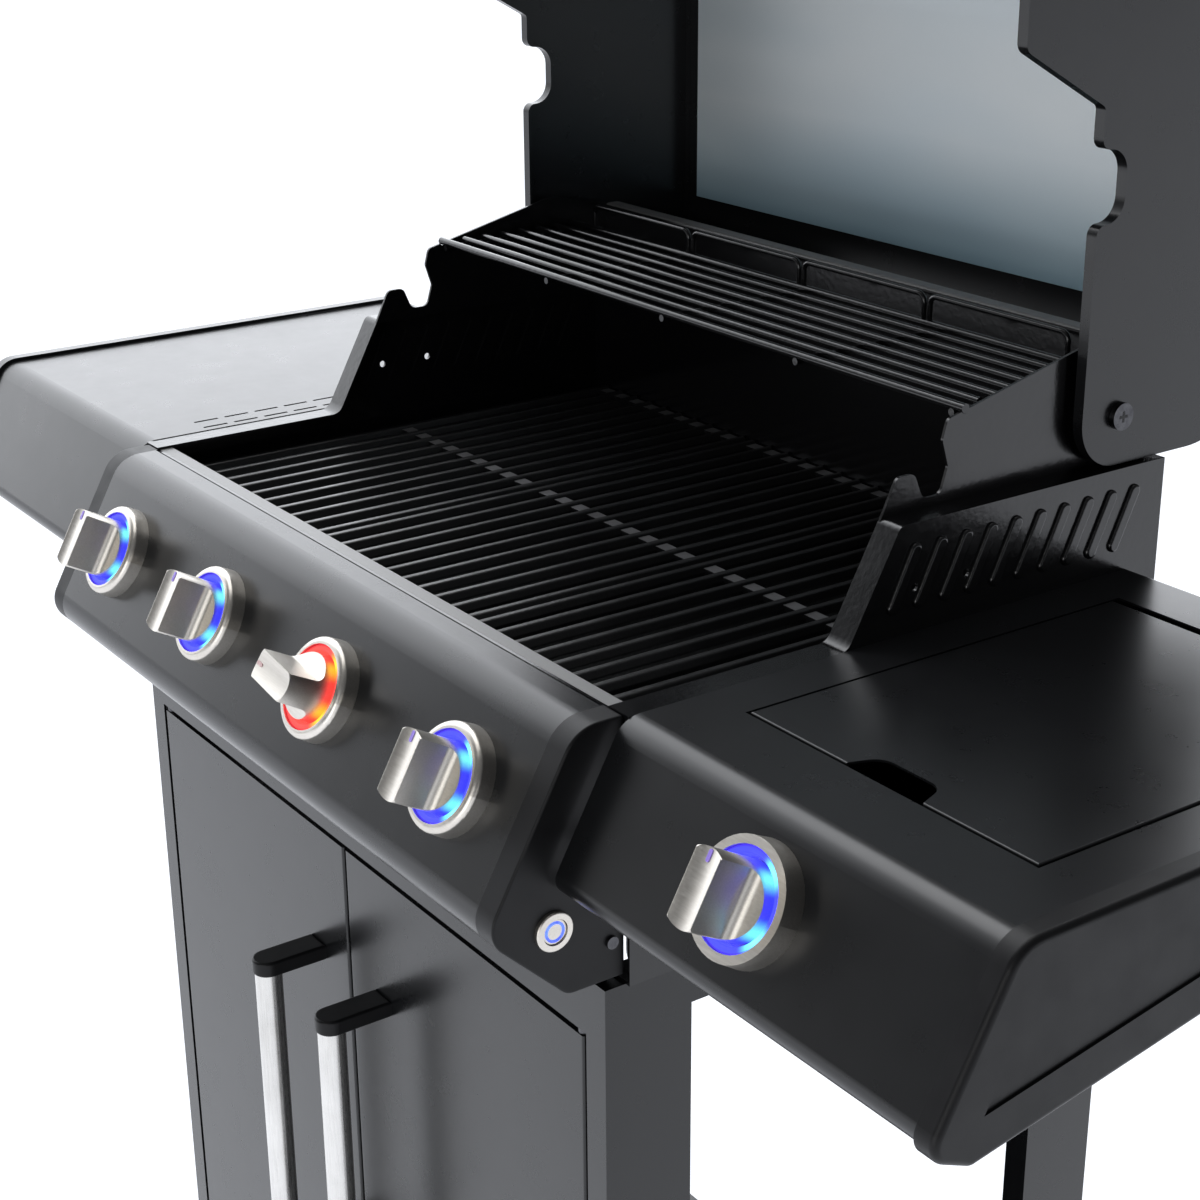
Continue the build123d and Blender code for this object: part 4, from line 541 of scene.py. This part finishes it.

# Cross recesses in the hood's pivot screws, drawn as flat black crosses of painted shade: a quarter of the
# outline, turned four times
CROSS_ARM, CROSS_REACH, CROSS_THICK = 0.0009, 0.0036, 0.00015
cross_quarter = [(CROSS_ARM, CROSS_ARM), (CROSS_ARM, CROSS_REACH), (-CROSS_ARM, CROSS_REACH)]
cross_outline = []
for turn in range(4):
    quarter = Matrix.Rotation(math.pi / 2 * turn, 2)
    cross_outline += [quarter @ Vector(corner) for corner in cross_quarter]
crosses = []
for side in (-1, 1):
    outward = Matrix(((0, 0, side), (1, 0, 0), (0, 1, 0)))
    crosses.append(slab(cross_outline, 0, CROSS_THICK, rim(side * PIVOT_FACE, *PIVOT), outward))
verts, faces = joined(crosses)
# Near black: painted shade in the screw recesses, and the dial needle's own colour
shade_and_needle_black = coated(
    "recess_shade_and_needle_black", (0.002, 0.002, 0.002), (0.004, 0.004, 0.004), rough=(0.5, 0.7), grain=(900.0, 0.1, 0.0002)
)
piece("pivot_crosses", verts, faces, shade_and_needle_black, "cart", False)


# Thermometer face and needle, low in the ring on the open hood
DIAL_R, DIAL_BASE = 0.031, 0.00705
DIAL_PALE = (0.7, 0.68, 0.64)
DIAL_BAND = ((0.12, (0.05, 0.2, 0.5)), (0.4, (0.75, 0.4, 0.04)), (0.65, (0.6, 0.04, 0.03)), (0.88, DIAL_PALE))
DIAL_TICKS = 24
DIAL_PROFILE = [(0.0006, 0.0), (0.0302, 0.0), (0.0308, 0.0006), (0.0006, 0.0006)]
NEEDLE = [(-0.0022, -0.006), (0.0022, -0.006), (0.0007, 0.021), (0.0, 0.0225), (-0.0007, 0.021)]
NEEDLE_LOW, NEEDLE_HIGH = 0.0006, 0.0014
NEEDLE_TURN = math.radians(125)


def dial_paint():
    """Thermometer face: pale enamel, a heat band and ticks that run round the dial."""
    m = Nodes("dial_paint")
    place = m.uv("dial")
    ticks = m.add("ShaderNodeMath", operation="PINGPONG")
    m.link(place["X"], ticks.inputs[0])
    ticks.inputs[1].default_value = 0.5 / DIAL_TICKS
    mark = m.ramp(ticks.outputs[0], 1.0, 0.0, 0.003, 0.004)
    outer = m.ramp(place["Y"], 0.0, 1.0, 0.8, 0.81)
    band = m.add("ShaderNodeValToRGB")
    ramp = band.color_ramp
    ramp.interpolation = "CONSTANT"
    ramp.elements[0].color = (*DIAL_PALE, 1)
    ramp.elements[1].position = DIAL_BAND[0][0]
    ramp.elements[1].color = (*DIAL_BAND[0][1], 1)
    for at, colour in DIAL_BAND[1:]:
        ramp.elements.new(at).color = (*colour, 1)
    m.link(place["X"], band.inputs["Fac"])
    in_band = m.times(m.ramp(place["Y"], 0.0, 1.0, 0.6, 0.61), m.ramp(place["Y"], 1.0, 0.0, 0.72, 0.73))
    face = m.add("ShaderNodeMix", data_type="RGBA")
    m.link(in_band, face.inputs["Factor"])
    m.link(m.mix(m.noise(60.0), (0.66, 0.64, 0.6), (0.72, 0.7, 0.66)), face.inputs["A"])
    m.link(band.outputs["Color"], face.inputs["B"])
    inked = m.add("ShaderNodeMix", data_type="RGBA")
    m.link(m.times(mark, outer), inked.inputs["Factor"])
    m.link(face.outputs["Result"], inked.inputs["A"])
    inked.inputs["B"].default_value = (0.01, 0.01, 0.01, 1)
    m.to(Base_Color=inked.outputs["Result"], Normal=m.bump(m.noise(900.0), 0.03, 0.0002))
    m.put(Roughness=0.3)
    return m.material


dial_basis = axes(DIAL_NORMAL, DIAL_UP)
dial_centre = rim(*DIAL_CENTRE) + DIAL_NORMAL * DIAL_BASE
verts, faces = lathe(DIAL_PROFILE, dial_centre, dial_basis)
dial = piece("dial_face", verts, faces, dial_paint(), "lid", False)
dial_map = dial.data.uv_layers.new(name="dial")
for face in dial.data.polygons:
    turns = []
    for loop in face.loop_indices:
        point = dial.data.vertices[dial.data.loops[loop].vertex_index].co - dial_centre
        x, y = point.dot(dial_basis.col[0]), point.dot(dial_basis.col[1])
        turns.append((math.atan2(-x, -y) % math.tau / math.tau, math.hypot(x, y) / DIAL_R))
    over_seam = max(a for a, r in turns) - min(a for a, r in turns) > 0.5
    for loop, (a, r) in zip(face.loop_indices, turns):
        dial_map.data[loop].uv = (a + 1 if over_seam and a < 0.5 else a, r)
tilt = Matrix.Rotation(NEEDLE_TURN, 2)
needle_outline = [tilt @ Vector(point) for point in NEEDLE]
verts, faces = slab(needle_outline, NEEDLE_LOW, NEEDLE_HIGH, dial_centre, dial_basis)
piece("dial_needle", verts, faces, shade_and_needle_black, "lid", False)

# Floor, light and camera
FLOOR_REACH = 40
FLOOR_SEEN_IN_GLOSS = 1.15
FLOOR_GREY, FLOOR_WHITE = (0.3, 0.3, 0.3), (0.95, 0.98, 1.05)
CYCLORAMA, ROOM = 3.4, 0.14
CYCLORAMA_WAY = (-0.933, 0.25, 0.26)
CYCLORAMA_EDGE = (0.56, 0.84)
STUDIO_TINT = (0.96, 0.985, 1.03)

floor_mesh = bpy.data.meshes.new("floor")
floor_corners = [(x * FLOOR_REACH, y * FLOOR_REACH, 0) for x, y in ((-1, -1), (1, -1), (1, 1), (-1, 1))]
floor_mesh.from_pydata(floor_corners, [], [(0, 1, 2, 3)])
floor = bpy.data.objects.new("floor", floor_mesh)
bpy.context.scene.collection.objects.link(floor)

floor_look = bpy.data.materials.new("pale_floor")
floor_look.use_nodes = True
tree = floor_look.node_tree
plain = tree.nodes["Principled BSDF"]
plain.inputs["Base Color"].default_value = (*FLOOR_GREY, 1)
plain.inputs["Roughness"].default_value = 0.9
plain.inputs["Specular IOR Level"].default_value = 0.0
path = tree.nodes.new("ShaderNodeLightPath")
power = tree.nodes.new("ShaderNodeMath")
power.operation = "MULTIPLY_ADD"
tree.links.new(path.outputs["Is Glossy Ray"], power.inputs[0])
power.inputs[1].default_value = FLOOR_SEEN_IN_GLOSS
tree.links.new(path.outputs["Is Camera Ray"], power.inputs[2])
white = tree.nodes.new("ShaderNodeEmission")
white.inputs["Color"].default_value = (*FLOOR_WHITE, 1)
tree.links.new(power.outputs[0], white.inputs["Strength"])
both = tree.nodes.new("ShaderNodeAddShader")
tree.links.new(plain.outputs[0], both.inputs[0])
tree.links.new(white.outputs[0], both.inputs[1])
tree.links.new(both.outputs[0], tree.nodes["Material Output"].inputs["Surface"])
floor_mesh.materials.append(floor_look)

# Studio: a bright cyclorama to the left and a dim room elsewhere, and plain white where the camera looks past
world = bpy.data.worlds.new("studio")
bpy.context.scene.world = world
world.use_nodes = True
tree = world.node_tree
ways = tree.nodes.new("ShaderNodeTexCoord")


def along(direction, low, high, start, end):
    """A value that follows the way a ray looks."""
    dot = tree.nodes.new("ShaderNodeVectorMath")
    dot.operation = "DOT_PRODUCT"
    tree.links.new(ways.outputs["Generated"], dot.inputs[0])
    dot.inputs[1].default_value = direction
    spread = tree.nodes.new("ShaderNodeMapRange")
    spread.interpolation_type = "SMOOTHSTEP"
    spread.inputs["From Min"].default_value = start
    spread.inputs["From Max"].default_value = end
    spread.inputs["To Min"].default_value = low
    spread.inputs["To Max"].default_value = high
    tree.links.new(dot.outputs["Value"], spread.inputs["Value"])
    return spread.outputs["Result"]


studio = tree.nodes["Background"]
tree.links.new(along(CYCLORAMA_WAY, ROOM, CYCLORAMA, *CYCLORAMA_EDGE), studio.inputs["Strength"])
shown = tree.nodes.new("ShaderNodeBackground")
choice = tree.nodes.new("ShaderNodeMixShader")
path = tree.nodes.new("ShaderNodeLightPath")
tree.links.new(path.outputs["Is Camera Ray"], choice.inputs[0])
tree.links.new(studio.outputs[0], choice.inputs[1])
tree.links.new(shown.outputs[0], choice.inputs[2])
tree.links.new(choice.outputs[0], tree.nodes["World Output"].inputs["Surface"])
studio.inputs["Color"].default_value = (*STUDIO_TINT, 1)
shown.inputs["Color"].default_value = (1, 1, 1, 1)


def panel_light(name, place, target, size, energy):
    """A softbox that the camera does not see."""
    lamp = bpy.data.lights.new(name, "AREA")
    lamp.shape = "RECTANGLE"
    lamp.size, lamp.size_y = size
    lamp.energy = energy
    obj = bpy.data.objects.new(name, lamp)
    obj.location = place
    obj.rotation_euler = (Vector(target) - Vector(place)).to_track_quat("-Z", "Y").to_euler()
    obj.visible_camera = False
    bpy.context.scene.collection.objects.link(obj)


# Softboxes: place, target and size in metres, power in watts
SOFTBOXES = {
    "top_box": ((-0.5, 0.1, 3.2), (0, 0, 0.9), (2.0, 2.0), 25.0),
    "front_box": ((1.5, -3.0, 1.2), (0, 0, 1.1), (2.0, 1.6), 26.0),
    "low_box": ((-2.2, -3.0, 0.8), (0.5, -0.3, 0.8), (1.2, 1.6), 3.0),
}
for name, box in SOFTBOXES.items():
    panel_light(name, *box)

scene = bpy.context.scene
scene.view_settings.view_transform = "Standard"

# Camera found from the photo: place in rim millimetres, angles in radians, focal length in pixels
CAMERA_PLACE = (1229.32, -648.48, 504.99)
YAW, PITCH, ROLL = 0.9634034, 0.3698739, -0.0084372
FOCAL_PIXELS, PICTURE_PIXELS, SENSOR = 2180.54, 1200, 36
ahead = Vector((-math.sin(YAW) * math.cos(PITCH), math.cos(YAW) * math.cos(PITCH), -math.sin(PITCH)))
level = Vector((math.cos(YAW), math.sin(YAW), 0))
above = level.cross(ahead)
right = level * math.cos(ROLL) + above * math.sin(ROLL)
up = above * math.cos(ROLL) - level * math.sin(ROLL)
camera = bpy.data.objects.new("camera", bpy.data.cameras.new("camera"))
camera.data.sensor_width = SENSOR
camera.data.lens = FOCAL_PIXELS / PICTURE_PIXELS * SENSOR
camera.data.clip_end = 100
spin = Matrix((right, up, -ahead)).transposed().to_4x4()
camera.matrix_world = Matrix.Translation(rim(*CAMERA_PLACE)) @ spin
scene.collection.objects.link(camera)
scene.camera = camera
